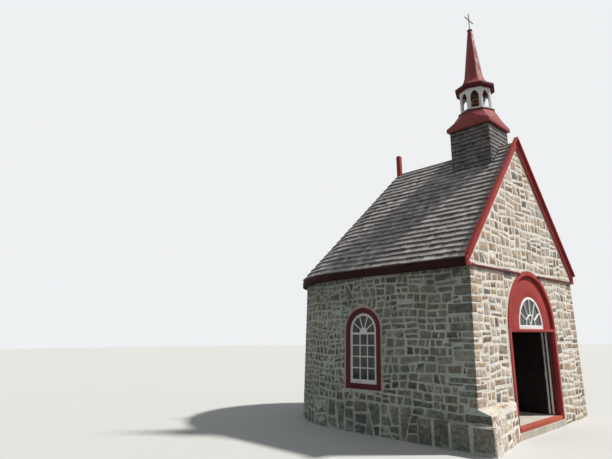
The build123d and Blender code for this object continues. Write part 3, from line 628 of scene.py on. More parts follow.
class Recipe(Tree):
    """Geometry Nodes tree that lays a piece over a layout."""

    def __init__(self, name, finish, inputs):
        super().__init__(bpy.data.node_groups.new(name + finish, "GeometryNodeTree"))
        self.values = {}
        face = self.tree.interface
        face.new_socket("Geometry", in_out="INPUT", socket_type="NodeSocketGeometry")
        for label, value in {**inputs, "Material": material(finish)}.items():
            kind = "NodeSocketMaterial" if label == "Material" else "NodeSocketFloat"
            self.values[face.new_socket(label, in_out="INPUT", socket_type=kind).identifier] = value
        face.new_socket("Geometry", in_out="OUTPUT", socket_type="NodeSocketGeometry")
        self.given = self.add("NodeGroupInput").outputs

    def named(self, name, kind="FLOAT"):
        return self.get("GeometryNodeInputNamedAttribute", "Attribute", {"Name": name}, data_type=kind)

    def stored(self, geometry, name, value):
        """Geometry with a number stored on its points."""
        return self.get("GeometryNodeStoreNamedAttribute", "Geometry", {
            "Geometry": geometry, "Name": name, "Value": value}, domain="POINT", data_type="FLOAT")

    def scaled(self, vector, factor):
        return self.get("ShaderNodeVectorMath", "Vector", {0: vector, "Scale": factor}, operation="SCALE")

    def copies(self, instance, scale):
        """A copy on each point, turned by the point's own value."""
        turn = self.get("FunctionNodeEulerToRotation", "Rotation", {0: self.named("turn", "FLOAT_VECTOR")})
        return self.get("GeometryNodeInstanceOnPoints", "Instances", {
            "Points": self.given["Geometry"], "Instance": instance, "Rotation": turn, "Scale": scale})

    def finish(self, geometry):
        """Realize, give the material and end the tree."""
        whole = self.get("GeometryNodeRealizeInstances", "Geometry", {"Geometry": geometry})
        coated = self.get("GeometryNodeSetMaterial", "Geometry", {
            "Geometry": whole, "Material": self.given["Material"]})
        self.add("NodeGroupOutput", {"Geometry": coated})
        return self

    def place(self, layout, name, slot, body="building"):
        """Run the tree on a layout and put the result into the scene as a plain piece."""
        carrier = bpy.data.objects.new(name + "_layout", layout)
        bpy.context.scene.collection.objects.link(carrier)
        modifier = carrier.modifiers.new(name, "NODES")
        modifier.node_group = self.tree
        for identifier, value in self.values.items():
            modifier[identifier] = value
        graph = bpy.context.evaluated_depsgraph_get()
        result = bpy.data.meshes.new_from_object(carrier.evaluated_get(graph), preserve_all_data_layers=True,
                                                 depsgraph=graph)
        bpy.data.objects.remove(carrier)
        if not len(result.polygons):
            raise RuntimeError(f"{name} came out empty")
        add_piece(result, name, slot, body=body)


def stone_recipe(finish):
    """Each outline becomes a closed stone: upright sides, an eased rim and a rough face."""
    tree = Recipe("rubble_", finish, {"Rim Share": 0.62, "Roughness": 0.0032})
    outlines = tree.given["Geometry"]
    rim_share = tree.given["Rim Share"]
    proud = tree.named("proud")
    sides = tree.add("GeometryNodeExtrudeMesh", {
        "Mesh": outlines, "Offset Scale": tree.math(proud, rim_share)})
    narrowed = tree.get("GeometryNodeScaleElements", "Geometry", {
        "Geometry": sides.outputs["Mesh"], "Selection": sides.outputs["Top"], "Scale": 0.965})
    crown = tree.add("GeometryNodeExtrudeMesh", {
        "Mesh": narrowed, "Selection": sides.outputs["Top"],
        "Offset Scale": tree.math(proud, tree.math(1.0, rim_share, "SUBTRACT"))})
    top = crown.outputs["Top"]
    face = tree.get("GeometryNodeScaleElements", "Geometry", {
        "Geometry": crown.outputs["Mesh"], "Selection": top, "Scale": 0.84})
    rim = tree.stored(face, "rim", tree.math(1.0, top, "SUBTRACT"))
    bumps = tree.get("ShaderNodeTexNoise", "Color", {
        "Vector": tree.get("GeometryNodeInputPosition", "Position"), "Scale": 13.0, "Detail": 2.0})
    centred = tree.get("ShaderNodeVectorMath", "Vector", {0: bumps, 1: (0.5, 0.5, 0.5)}, operation="SUBTRACT")
    moved = tree.scaled(tree.scaled(centred, tree.given["Roughness"]), 2.0)
    rough = tree.get("GeometryNodeSetPosition", "Geometry", {
        "Geometry": rim, "Selection": top, "Offset": moved})
    joined = tree.add("GeometryNodeJoinGeometry")
    for part in (tree.get("GeometryNodeFlipFaces", "Mesh", {"Mesh": outlines}), rough):
        tree.feed(joined.inputs["Geometry"], part)
    closed = tree.get("GeometryNodeMergeByDistance", "Geometry", {
        "Geometry": joined.outputs["Geometry"], "Distance": 0.0002})
    return tree.finish(tree.get("GeometryNodeSetShadeSmooth", "Geometry", {"Geometry": closed}))


def shingle_recipe(finish):
    """A thin wedge on each point, turned and sized by the point's own values."""
    tree = Recipe("rows_of_", finish, {"Head Thickness": 0.25})
    wedge = tree.get("GeometryNodeMeshCube", "Mesh", {
        "Size": (1.0, 1.0, 1.0), "Vertices X": 2, "Vertices Y": 3, "Vertices Z": 2})
    parts = tree.add("ShaderNodeSeparateXYZ", {0: tree.get("GeometryNodeInputPosition", "Position")}).outputs
    along = tree.math(parts["Y"], 0.5, "ADD")
    marked = tree.stored(tree.stored(wedge, "along", along), "across", parts["X"])
    taper = tree.get("ShaderNodeMapRange", "Result", {
        "Value": along, "To Min": 1.0, "To Max": tree.given["Head Thickness"]})
    shaped = tree.get("ShaderNodeCombineXYZ", "Vector", {
        "X": parts["X"], "Y": along, "Z": tree.math(tree.math(parts["Z"], 0.5, "ADD"), taper)})
    tapered = tree.get("GeometryNodeSetPosition", "Geometry", {"Geometry": marked, "Position": shaped})
    copies = tree.copies(tapered, tree.named("size", "FLOAT_VECTOR"))
    whole = tree.get("GeometryNodeRealizeInstances", "Geometry", {"Geometry": copies})
    width = tree.math(tree.named("across"), 3.0)
    lines = tree.math(width, tree.math(tree.named("tone"), 47.0), "ADD")
    return tree.finish(tree.stored(whole, "grain", lines))


def bar_recipe(finish, half_width):
    """A six-sided bar along each edge of the layout."""
    tree = Recipe("bars_", finish, {"Half Width": half_width})
    paths = tree.get("GeometryNodeMeshToCurve", "Curve", {"Mesh": tree.given["Geometry"]})
    section = tree.get("GeometryNodeCurvePrimitiveCircle", "Curve", {
        "Resolution": 6, "Radius": tree.given["Half Width"]})
    return tree.finish(tree.get("GeometryNodeCurveToMesh", "Mesh", {
        "Curve": paths, "Profile Curve": section, "Fill Caps": True}))


def stud_recipe(finish):
    """A domed head on each point, turned by the point's own value."""
    tree = Recipe("studs_", finish, {"Head Radius": 0.008})
    dome = tree.get("GeometryNodeMeshUVSphere", "Mesh", {"Segments": 10, "Rings": 6, "Radius": 1.0})
    flat = tree.get("GeometryNodeTransform", "Geometry", {"Geometry": dome, "Scale": (1.0, 1.0, 0.45)})
    radius = tree.given["Head Radius"]
    size = tree.get("ShaderNodeCombineXYZ", "Vector", {"X": radius, "Y": radius, "Z": radius})
    return tree.finish(tree.copies(flat, size))


class Bars:
    """Paths that white glazing bars follow."""

    def __init__(self):
        self.points = []
        self.edges = []

    def add(self, path):
        first = len(self.points)
        self.points += path
        self.edges += [(first + step, first + step + 1) for step in range(len(path) - 1)]

    def place(self, name, half_width):
        bar_recipe("white_paint", half_width).place(mesh_from(self.points, self.edges), name, "white_paint")


# Stone layout

FAR = 3
CORNER_START = 0.02
BOULDER_FOOT = -0.06
BOULDER_TOP = 0.56
SIZE_FACTORS = (0.5, 0.8, 1.0, 1.3, 1.9)
COURSE_HEIGHTS = (0.09, 0.115, 0.14, 0.18)
JOINT_SHARES = (0.28, 0.78)
LEAST_EDGE = 0.016
LEAST_BREADTH = 0.027
BROKEN_FROM = (0.075, 0.17)


def corners_of(outline):
    """Each corner of an outline with the next."""
    return zip(outline, outline[1:] + outline[:1])


def clip(outline, *cuts):
    """Part of a convex outline where across * u + up * v is at most the limit of each cut."""
    for across, up, limit in cuts:
        kept = []
        for (au, av), (bu, bv) in corners_of(outline):
            here = across * au + up * av - limit
            there = across * bu + up * bv - limit
            if here <= 0:
                kept.append((au, av))
            if here * there < 0:
                share = here / (here - there)
                kept.append((au + share * (bu - au), av + share * (bv - av)))
        outline = kept
    return outline


def area(outline):
    """Area of an outline."""
    total = 0.0
    for (au, av), (bu, bv) in corners_of(outline):
        total += au * bv - bu * av
    return total / 2


def middle(outline):
    """Mean of an outline's corners."""
    return (sum(u for u, v in outline) / len(outline), sum(v for u, v in outline) / len(outline))


def largest(outline, *cuts):
    """What is left by the cut that loses least."""
    return max((clip(outline, cut) for cut in cuts), key=lambda kept: area(kept) if len(kept) > 2 else 0.0)


def round_box(outline, low, high):
    """Outline kept off an upright box."""
    us = [u for u, v in outline]
    vs = [v for u, v in outline]
    if not outline or max(us) <= low[0] or min(us) >= high[0] or max(vs) <= low[1] or min(vs) >= high[1]:
        return outline
    return largest(outline, (1, 0, low[0]), (-1, 0, -high[0]), (0, 1, low[1]), (0, -1, -high[1]))


def round_arch(outline, centre, half, spring, sill):
    """Outline kept off a round-headed opening."""
    def is_inside(u, v):
        if v > spring:
            return math.hypot(u - centre, v - spring) < half
        return abs(u - centre) < half and v > sill

    if not outline or not any(is_inside(u, v) for u, v in outline + [middle(outline)]):
        return outline
    u, v = middle(outline)
    reach = math.hypot(u - centre, v - spring)
    if v > spring - 0.05 and reach > 0.01:
        across = (u - centre) / reach
        up = (v - spring) / reach
        return clip(outline, (-across, -up, -(across * centre + up * spring + half)))
    return largest(outline, (1, 0, centre - half), (-1, 0, -(centre + half)), (0, 1, sill))


def split(outline, turn, share):
    """Two parts of an outline, to the sides of a line at a turn and at a share of its reach."""
    across = math.cos(turn)
    up = math.sin(turn)
    reaches = [across * u + up * v for u, v in outline]
    limit = min(reaches) + share * (max(reaches) - min(reaches))
    return [clip(outline, (across, up, limit)), clip(outline, (-across, -up, -limit))]


def broken_up(outline, rng, size_at, flat_at, slant):
    """Stones of a stretch of wall, by slanted cuts until each has the size of its place."""
    waiting = [outline]
    stones = []
    while waiting:
        piece = waiting.pop()
        if len(piece) < 3:
            continue
        u = middle(piece)[0]
        if area(piece) < size_at(u) * rng.choice(SIZE_FACTORS):
            stones.append(piece)
            continue
        wide = max(point[0] for point in piece) - min(point[0] for point in piece)
        high = max(point[1] for point in piece) - min(point[1] for point in piece)
        usual = math.sqrt(size_at(u))
        is_low = high < 0.95 * usual
        if is_low and wide < 1.2 * usual:
            stones.append(piece)
            continue
        if is_low or wide > max(1.2 * usual, high * flat_at(u) * rng.uniform(0.75, 1.3)):
            turn = rng.gauss(0, slant)
        else:
            turn = math.pi / 2 + rng.gauss(0, 0.4 * slant)
        waiting += split(piece, turn, rng.uniform(0.38, 0.62))
    return stones


def stretches(rng, left, right, bottom, top, course, length):
    """Stretches of wall, course by course, for the stones to be cut from."""
    found = []
    v = bottom
    while v < top:
        high = course * rng.uniform(0.75, 1.3)
        u = left - rng.random() * length
        while u < right:
            wide = length * rng.uniform(0.7, 1.3)
            found.append([(u, v), (u + wide, v), (u + wide, v + high), (u, v + high)])
            u += wide
        v += high
    return found


def cut_up(found, rng, size, flat, slant):
    """Outlines that stretches of one kind of stone break into."""
    outlines = []
    for stretch in found:
        outlines += broken_up(stretch, rng, lambda u: size, lambda u: flat, slant)
    return outlines


def in_mortar(outline, joint, sway, rng):
    """Outline less its half of each joint round it, moved by a slow wave so that no joint runs straight."""
    kept = outline
    for (au, av), (bu, bv) in corners_of(outline):
        length = math.hypot(bu - au, bv - av)
        if length < 0.001:
            continue
        across = (bv - av) / length
        up = (au - bu) / length
        kept = clip(kept, (across, up, across * au + up * av - joint * rng.uniform(*JOINT_SHARES)))
        if len(kept) < 3:
            return []
    swayed = []
    for u, v in kept:
        shift = noise.noise_vector(Vector((1.7 * u, 2.1 * v, 0.6))) * sway
        swayed.append((u + shift.x, v + shift.y))
    return swayed


def worn(outline, rng, corner=0.2, wobble=0.006):
    """Outline with broken edges and eased corners."""
    def about(value):
        return value + rng.uniform(-wobble, wobble) * 0.5

    cleaned = [point for point, after in corners_of(outline) if math.dist(point, after) > LEAST_EDGE]
    if len(cleaned) < 3:
        return []
    broken = []
    for (au, av), (bu, bv) in corners_of(cleaned):
        broken.append((au, av))
        length = math.hypot(bu - au, bv - av)
        parts = 1 + sum(length > least for least in BROKEN_FROM)
        for part in range(1, parts):
            share = (part + rng.uniform(-0.2, 0.2)) / parts
            inward = rng.uniform(-0.002, 0.010)
            broken.append((au + share * (bu - au) - (bv - av) / length * inward,
                           av + share * (bv - av) + (bu - au) / length * inward))
    eased = []
    for (au, av), (bu, bv) in corners_of(broken):
        eased.append((about(au + corner * (bu - au)), about(av + corner * (bv - av))))
        eased.append((about(bu - corner * (bu - au)), about(bv - corner * (bv - av))))
    return eased


def is_stone(outline, least):
    """Whether an outline is big enough for a stone, and no sliver."""
    if len(outline) < 6 or area(outline) < least:
        return False
    longest = max(math.dist(first, second) for first in outline for second in outline)
    return area(outline) / longest > LEAST_BREADTH


def stones_of(outlines, rng, joint, sway, trim, least=0.002, corner_at=lambda u: 0.2, wobble=0.006):
    """Stones from cut outlines: less their mortar, trimmed to the wall and worn, each with its tone."""
    stones = []
    for outline in outlines:
        outline = trim(in_mortar(outline, joint, sway, rng))
        if outline:
            outline = worn(outline, rng, corner_at(middle(outline)[0]), wobble)
        if is_stone(outline, least):
            stones.append((outline, rng.random()))
    return stones


def add_stones(recipe, stones, place, name, rng, inward, proud, step=1):
    """Stones on the wall, with each one's tone and height; a step of -1 turns them over."""
    bm = bmesh.new()
    for outline, _ in stones:
        bm.faces.new([bm.verts.new(place(u, v, inward)) for u, v in outline[::step]])
    mesh = mesh_of(bm)
    store(mesh, "tone", "FACE", [tone for _, tone in stones])
    store(mesh, "proud", "FACE", [inward * rng.uniform(*proud) for _ in stones])
    recipe.place(mesh, name, "rubble_stone")


def front_place(u, v, inward):
    """Point on the front, a little behind its face."""
    return Vector((u, inward, v))


def strip_place(u, v, inward):
    """Point on the side walls and the round end, by its distance along them from the left front corner."""
    reach = wall_half(v) - inward
    if u < NAVE:
        return Vector((-reach, u, v))
    if u < NAVE + ROUND_LENGTH:
        x, y = on_circle(reach, math.pi - (u - NAVE) / ROUND_RADIUS)
        return Vector((x, NAVE + y, v))
    return Vector((reach, STRIP_LENGTH - u, v))


def footing_front(x, z):
    """How far the flared corner stands in front of the wall."""
    share = (x + wall_half(z)) / (wall_half(z) - DOOR_HALF)
    up = z / FOOTING_TOP
    outer, inner = (low + (high - low) * up for low, high in (FOOTING_OUTER, FOOTING_INNER))
    return outer + (inner - outer) * share


def footing_place(u, v, inward):
    """Point on the flared front of the corner footing."""
    return Vector((u, inward - footing_front(u, v), v))


def footing_top_place(u, v, inward):
    """Point on the sloping top of the corner footing, by its distance in front of the wall."""
    return Vector((u, -v, FOOTING_TOP - 0.35 * v - inward))


def corner_stones(rng, top, start):
    """Heights and lengths of the squared stones up a front corner."""
    stones = []
    z = start
    long_front = True
    while z < top - 0.05:
        height = min(rng.choice(COURSE_HEIGHTS) * rng.uniform(0.9, 1.12), top - z)
        if top - z - height < 0.07:
            height = top - z
        along_front = rng.uniform(0.26, 0.42) if long_front else rng.uniform(0.13, 0.24)
        along_side = rng.uniform(0.15, 0.26) if long_front else rng.uniform(0.30, 0.52)
        stones.append((z, z + height, along_front, along_side, rng.random()))
        long_front = rng.random() < 0.5 if rng.random() < 0.3 else not long_front
        z += height
    return stones


def add_block(bm, corners, bevel, tone, rough=0.003, parts=3):
    """Squared stone with eased, uneven edges from its eight corners, lower four first."""
    block = bmesh.new()
    tones = block.faces.layers.float.new("tone")
    for side in ((0, 3, 2, 1), (4, 5, 6, 7), (0, 1, 5, 4), (1, 2, 6, 5), (2, 3, 7, 6), (3, 0, 4, 7)):
        a, b, c, d = (Vector(corners[index]) for index in side)
        grid = []
        for row in range(parts + 1):
            left = a.lerp(d, row / parts)
            right = b.lerp(c, row / parts)
            grid.append([block.verts.new(left.lerp(right, step / parts)) for step in range(parts + 1)])
        for low, high in zip(grid, grid[1:]):
            for step in range(parts):
                block.faces.new((low[step], low[step + 1], high[step + 1], high[step]))
    bmesh.ops.remove_doubles(block, verts=block.verts, dist=0.0005)
    bmesh.ops.recalc_face_normals(block, faces=block.faces)
    ease(block, [edge for edge in block.edges if edge.calc_face_angle(0) > math.radians(50)], bevel, 0.5)
    for vert in block.verts:
        vert.co += noise.noise_vector(vert.co * 6.0) * rough
    for face in block.faces:
        face[tones] = tone
        face.smooth = True
    mesh = mesh_of(block)
    bm.from_mesh(mesh)
    bpy.data.meshes.remove(mesh)


def add_blocks(bm, name, rim_share):
    """Squared stones as a piece, coloured as the front or the side by the way each face looks; the side's
    colours are painted shade.
    """
    paint_faces(bm, lambda face: 0 if face.normal.y < -0.6 else 1)
    rim = bm.verts.layers.float.new("rim")
    for vert in bm.verts:
        vert[rim] = rim_share
    add_piece(mesh_of(bm), name, "rubble_stone", ("front_stone", "side_stone"))


INNER_REACH = 2.2
BAND = 0.042
FOOTING_TOP_DEPTH = 0.186
LEDGE_FOOT = 0.014
CORNER_BOULDER_WIDTH = 0.337
CORNER_BOULDER_BACK = 0.235
# Start, end, top and rounding of each boulder along the ledge.
LEDGE_BOULDERS = ((-0.284, 0.09, 0.421, 0.045), (0.11, 0.44, 0.415, 0.022),
                  (0.46, 0.74, 0.423, 0.022), (0.76, 1.044, 0.417, 0.022))


class CHAPEL_OT_mortar_walls(bpy.types.Operator):
    """Walls of mortar and plaster behind the stones"""
    bl_idname = "chapel.mortar_walls"
    bl_label = "Mortar Walls"

    def execute(self, context):
        depth = context.scene.chapel_wall.mortar_depth

        def is_front(face, behind):
            return face.normal.y < -FACING and face.calc_center_median().y < behind

        def is_outer(face):
            if abs(face.normal.z) > 0.6:
                return False
            if is_front(face, 0.001):
                return True
            centre = face.calc_center_median()
            outward = Vector((centre.x, max(0.0, centre.y - NAVE), 0))
            return outward.length > INNER_REACH and face.normal.dot(outward.normalized()) > 0.7

        # Outer faces off the front take the side mortar, whose colour is painted shade.
        def wall_index(face):
            if is_front(face, 0.1):
                return 0
            return 1 if is_outer(face) else 2

        def is_footing_outer(face):
            centre = face.calc_center_median()
            is_rear = face.normal.y > FACING and centre.y < 0.5
            return centre.z > 0.01 and centre.x < -DOOR_HALF - 0.001 and not is_rear

        # Top faces take the footing mortar, darkened as painted shade; side faces take the side mortar, with
        # painted shade.
        def footing_index(face):
            if face.normal.z > 0.5:
                return 2
            return 0 if face.normal.y < -0.5 else 1

        def add_mortar(node, is_moved, index_of, third_finish):
            bm = inset_copy(node, depth, is_moved)
            paint_faces(bm, index_of)
            sharpen(bm)
            add_piece(mesh_of(bm), "mortar_" + node, "rubble_stone",
                      ("front_mortar", "side_mortar", third_finish), (node,))

        for node in WALLS:
            add_mortar(node, is_outer, wall_index, "plaster")
        add_mortar("corner_footing", is_footing_outer, footing_index, "foot_mortar")
        return {"FINISHED"}


class CHAPEL_OT_rubble_stones(bpy.types.Operator):
    """Single stones on the front, the side walls, the round end and the corner footing"""
    bl_idname = "chapel.rubble_stones"
    bl_label = "Rubble Stones"

    def execute(self, context):
        settings = context.scene.chapel_wall
        depth = settings.mortar_depth + 0.002
        gap = 0.012
        ground = (0, -1, -0.011)
        rng = random.Random(settings.seed)
        noise.seed_set(settings.seed + 1)
        left_corner = corner_stones(rng, SOFFIT, FOOTING_TOP)
        right_corner = corner_stones(rng, SOFFIT, CORNER_START)
        lean = BATTER / WALL_TOP
        lean_length = math.hypot(1, lean)
        rake = math.hypot(1, ROOF_SLOPE)
        foot_corner = wall_half(FOOTING_TOP)
        narrowing = (FOOTING_OUTER[1] - FOOTING_INNER[1]) / (foot_corner - DOOR_HALF)

        def trim_front(outline):
            for side in (-1, 1):
                outline = clip(
                    outline, (side / lean_length, lean / lean_length, (wall_half(0) - 0.006) / lean_length),
                    (side * ROOF_SLOPE / rake, 1 / rake, (RAKE_INNER - gap) / rake - BAND))
            outline = round_arch(clip(outline, ground), 0, DOOR_HALF + BAND, DOOR_SPRING, -1)
            outline = round_box(outline, (-FAR, -1), (-DOOR_HALF, FOOTING_TOP + gap))
            for low, high, along_front, _, _ in left_corner:
                outline = round_box(outline, (-FAR, low), (-(wall_half(high) - along_front - gap), high))
            for low, high, along_front, _, _ in right_corner:
                outline = round_box(outline, (wall_half(high) - along_front - gap, low), (FAR, high))
            return outline

        def trim_footing(outline):
            return clip(outline, (-1, 0, foot_corner - 0.02), (1, 0, -DOOR_HALF - gap),
                        (0, 1, FOOTING_TOP - 0.075), (0, -1, -0.010))

        def trim_footing_top(outline):
            return clip(outline, (narrowing, 1, FOOTING_TOP_DEPTH - narrowing * foot_corner),
                        (-1, 0, foot_corner - 0.015), (0, -1, -gap))

        def lay(name, place, found, look, joint, sway, trim, proud, step=1):
            """Stones of one look (size, flatness and slant) in stretches of the front or the footing."""
            stones = stones_of(cut_up(found, rng, *look), rng, joint, sway, trim)
            add_stones(recipe, stones, place, name, rng, depth, proud, step)

        recipe = stone_recipe("front_stone")
        size = settings.front_size
        joint = settings.front_joint
        lay("front_stones", front_place,
            stretches(rng, -wall_half(0), wall_half(0), -0.05, RAKE_INNER, 0.46, 0.95),
            (size, 2.0, 0.17), joint, 0.05, trim_front, (0.72, 0.98))
        lay("footing_stones", footing_place,
            stretches(rng, -wall_half(0), -DOOR_HALF, -0.02, FOOTING_TOP, 0.33, 0.8),
            (size * 1.4, 1.4, 0.2), joint, 0.05, trim_footing, (0.7, 0.97))
        lay("footing_top_stones", footing_top_place,
            stretches(rng, -foot_corner, -DOOR_HALF, -0.02, 0.2, 0.3, 0.5),
            (size, 1.6, 0.2), joint * 0.8, 0.03, trim_footing_top, (0.7, 0.97), -1)

        def near_corner(u, reach=2.2, fade=1.3):
            """Share from 1 near a front corner to 0 at a reach along the wall."""
            return max(0.0, min(1.0, (reach - min(u, STRIP_LENGTH - u)) / fade))

        def size_at(u):
            side_share = near_corner(u, 3.2, 1.0)
            size = settings.round_size + (settings.side_size - settings.round_size) * side_share
            return size + (settings.corner_size - size) * near_corner(u)

        def trim_side(outline):
            outline = clip(outline, (0, 1, SOFFIT - 0.004), ground, (-1, 0, -0.008),
                           (1, 0, STRIP_LENGTH - 0.008))
            for centre in (WINDOW_Y, STRIP_LENGTH - WINDOW_Y):
                outline = round_arch(outline, centre, WINDOW_HALF + BAND - 0.004, WINDOW_SPRING,
                                     WINDOW_SILL - 0.03)
            outline = round_box(outline, (-FAR, -1), (LEDGE_END + 0.01, LEDGE_TOP + 0.01))
            outline = round_box(outline, (-FAR, -1), (0.24, FOOTING_TOP + 0.006))
            for low, high, _, along_side, _ in left_corner:
                outline = round_box(outline, (-FAR, low), (along_side + gap, high))
            for low, high, _, along_side, _ in right_corner:
                outline = round_box(outline, (STRIP_LENGTH - (along_side + gap), low),
                                    (STRIP_LENGTH + FAR, high))
            return outline

        outlines = []
        for stretch in stretches(rng, 0, STRIP_LENGTH, BOULDER_TOP, SOFFIT, 0.31, 1.1):
            slant = 0.32 - 0.22 * near_corner(middle(stretch)[0])
            outlines += broken_up(stretch, rng, size_at, lambda u: 1.3 + 1.1 * near_corner(u), slant)
        found = [[(u, BOULDER_FOOT if v < 0 else BOULDER_TOP) for u, v in stretch]
                 for stretch in stretches(rng, 0, STRIP_LENGTH, BOULDER_FOOT, 0.02, 0.62, 0.9)]
        outlines += cut_up(found, rng, settings.boulder_size, 0.9, 0.2)
        groups = {"side_stones_left": [], "round_end_stones": [], "side_stones_right": []}
        for outline, tone in stones_of(outlines, rng, settings.side_joint, 0.06, trim_side, 0.0014,
                                       lambda u: 0.34 - 0.10 * near_corner(u), 0.011):
            u, v = middle(outline)
            name = "round_end_stones"
            if u < NAVE:
                name = "side_stones_left"
            elif u > NAVE + ROUND_LENGTH:
                name = "side_stones_right"
            groups[name].append((outline, tone * (0.55 if v < 0.55 else 1.0)))
        # The side walls and round end take the side stone, whose colours are painted shade.
        recipe = stone_recipe("side_stone")
        for name, stones in groups.items():
            add_stones(recipe, stones, strip_place, name, rng, depth, (0.6, 0.98), -1)
        return {"FINISHED"}


class CHAPEL_OT_corner_stones(bpy.types.Operator):
    """Squared stones up the front corners, and the boulders of the ledge and footing"""
    bl_idname = "chapel.corner_stones"
    bl_label = "Corner Stones"

    def execute(self, context):
        settings = context.scene.chapel_wall
        rng = random.Random(settings.seed)
        noise.seed_set(settings.seed + 1)
        gap = settings.front_joint * 0.3
        corners = [(side, "corner_stones_" + hand, corner_stones(rng, SOFFIT, start))
                   for side, hand, start in ((-1, "left", FOOTING_TOP), (1, "right", CORNER_START))]
        for side, name, stones in corners:
            bm = bmesh.new()
            bm.faces.layers.float.new("tone")
            for low, high, along_front, along_side, own_tone in stones:
                reach = 0.001 + rng.uniform(0.0, 0.003)
                front = reach + 0.001
                back = along_side - gap
                points = []
                for z in (low + gap, high - gap):
                    outer = side * (wall_half(z) - reach)
                    inner = side * (wall_half(z) - along_front + gap)
                    points += [(outer, front, z), (inner, front, z), (inner, back, z), (outer, back, z)]
                add_block(bm, points, 0.009, 0.07 + 0.3 * own_tone if own_tone < 0.55 else own_tone)
            add_blocks(bm, name, 0.25)

        bm = bmesh.new()
        bm.faces.layers.float.new("tone")
        outer = -wall_half(0) - LEDGE_WIDTH + 0.003
        inner = -wall_half(0) + 0.15
        for start, end, high, bevel in LEDGE_BOULDERS:
            points = []
            for z in (LEDGE_FOOT, high):
                points += [(outer, end, z), (outer, start, z), (inner, start, z), (inner, end, z)]
            add_block(bm, points, bevel, rng.random() * 0.5)
        points = []
        for z in (LEDGE_TOP + 0.004, BOULDER_TOP):
            left = -wall_half(z) + 0.001
            right = left + CORNER_BOULDER_WIDTH
            points += [(x, -footing_front(x, z) + 0.003, z) for x in (left, right)]
            points += [(right, CORNER_BOULDER_BACK, z), (left, CORNER_BOULDER_BACK, z)]
        add_block(bm, points, 0.020, 0.12, 0.002)
        add_blocks(bm, "footing_boulders", 0.2)
        return {"FINISHED"}


def band_mesh(inner, outer, place):
    """Closed band between two rows of points, from behind the mortar to a little behind the wall's face."""
    bm = bmesh.new()
    rings = []
    for depth in (0.017, 0.004):
        rings.append(([bm.verts.new(place(u, v, depth)) for u, v in inner],
                      [bm.verts.new(place(u, v, depth)) for u, v in outer]))
    (inner_back, outer_back), (inner_face, outer_face) = rings
    last = len(inner) - 1
    for step in range(last):
        bm.faces.new((inner_face[step], outer_face[step], outer_face[step + 1], inner_face[step + 1]))
        bm.faces.new((inner_back[step + 1], outer_back[step + 1], outer_back[step], inner_back[step]))
        bm.faces.new((outer_face[step], outer_back[step], outer_back[step + 1], outer_face[step + 1]))
        bm.faces.new((inner_face[step + 1], inner_back[step + 1], inner_back[step], inner_face[step]))
    for step in (0, last):
        bm.faces.new((inner_face[step], inner_back[step], outer_back[step], outer_face[step]))
    bmesh.ops.recalc_face_normals(bm, faces=bm.faces)
    return mesh_of(bm)


def arch_points(centre, half, spring, foot, steps):
    """Points up one side of a round-headed opening, over its head and down the other side."""
    points = [(centre - half, foot + (spring - foot) * step / 4) for step in range(4)]
    for step in range(steps + 1):
        across, up = on_circle(half, math.pi * (1 - step / steps))
        points.append((centre + across, spring + up))
    return points + [(centre + half, spring - (spring - foot) * (step + 1) / 4) for step in range(4)]


class CHAPEL_OT_lime_bands(bpy.types.Operator):
    """Lime lines along the gable, round the door arch and round the windows"""
    bl_idname = "chapel.lime_bands"
    bl_label = "Lime Bands"

    def execute(self, context):
        rng = random.Random(3)

        def unsteady(points, reach):
            return [(u + rng.uniform(-reach, reach), v) for u, v in points]

        def add_band(name, inner, outer, place, finish="lime_band"):
            add_piece(band_mesh(inner, outer, place), name, "rubble_stone", (finish,))

        add_band("lime_band_door", arch_points(0, DOOR_HALF, DOOR_SPRING, 0.02, 44),
                 unsteady(arch_points(0, DOOR_HALF + 0.040, DOOR_SPRING, 0.02, 44), 0.004), front_place)
        rake = math.hypot(1, ROOF_SLOPE)
        for side, name in ((-1, "lime_band_rake_left"), (1, "lime_band_rake_right")):
            rows = ([], [])
            for step in range(31):
                x = (RAKE_INNER - STRING_TOP) / ROOF_SLOPE * 0.995 * step / 30
                z = RAKE_INNER - ROOF_SLOPE * x
                rows[0].append((side * x, z - (0.040 + rng.uniform(-0.005, 0.005)) * rake))
                rows[1].append((side * x, z + 0.004))
            add_band(name, *rows[::-side], front_place)
        for centre, name in ((WINDOW_Y, "window_band_left"), (STRIP_LENGTH - WINDOW_Y, "window_band_right")):
            inner = arch_points(centre, WINDOW_HALF - 0.002, WINDOW_SPRING, WINDOW_SILL, 32)
            outer = arch_points(centre, WINDOW_HALF + 0.036, WINDOW_SPRING, WINDOW_SILL - 0.028, 32)
            add_band(name, inner, unsteady(outer, 0.003), strip_place, "window_band")
        return {"FINISHED"}


# Shingles

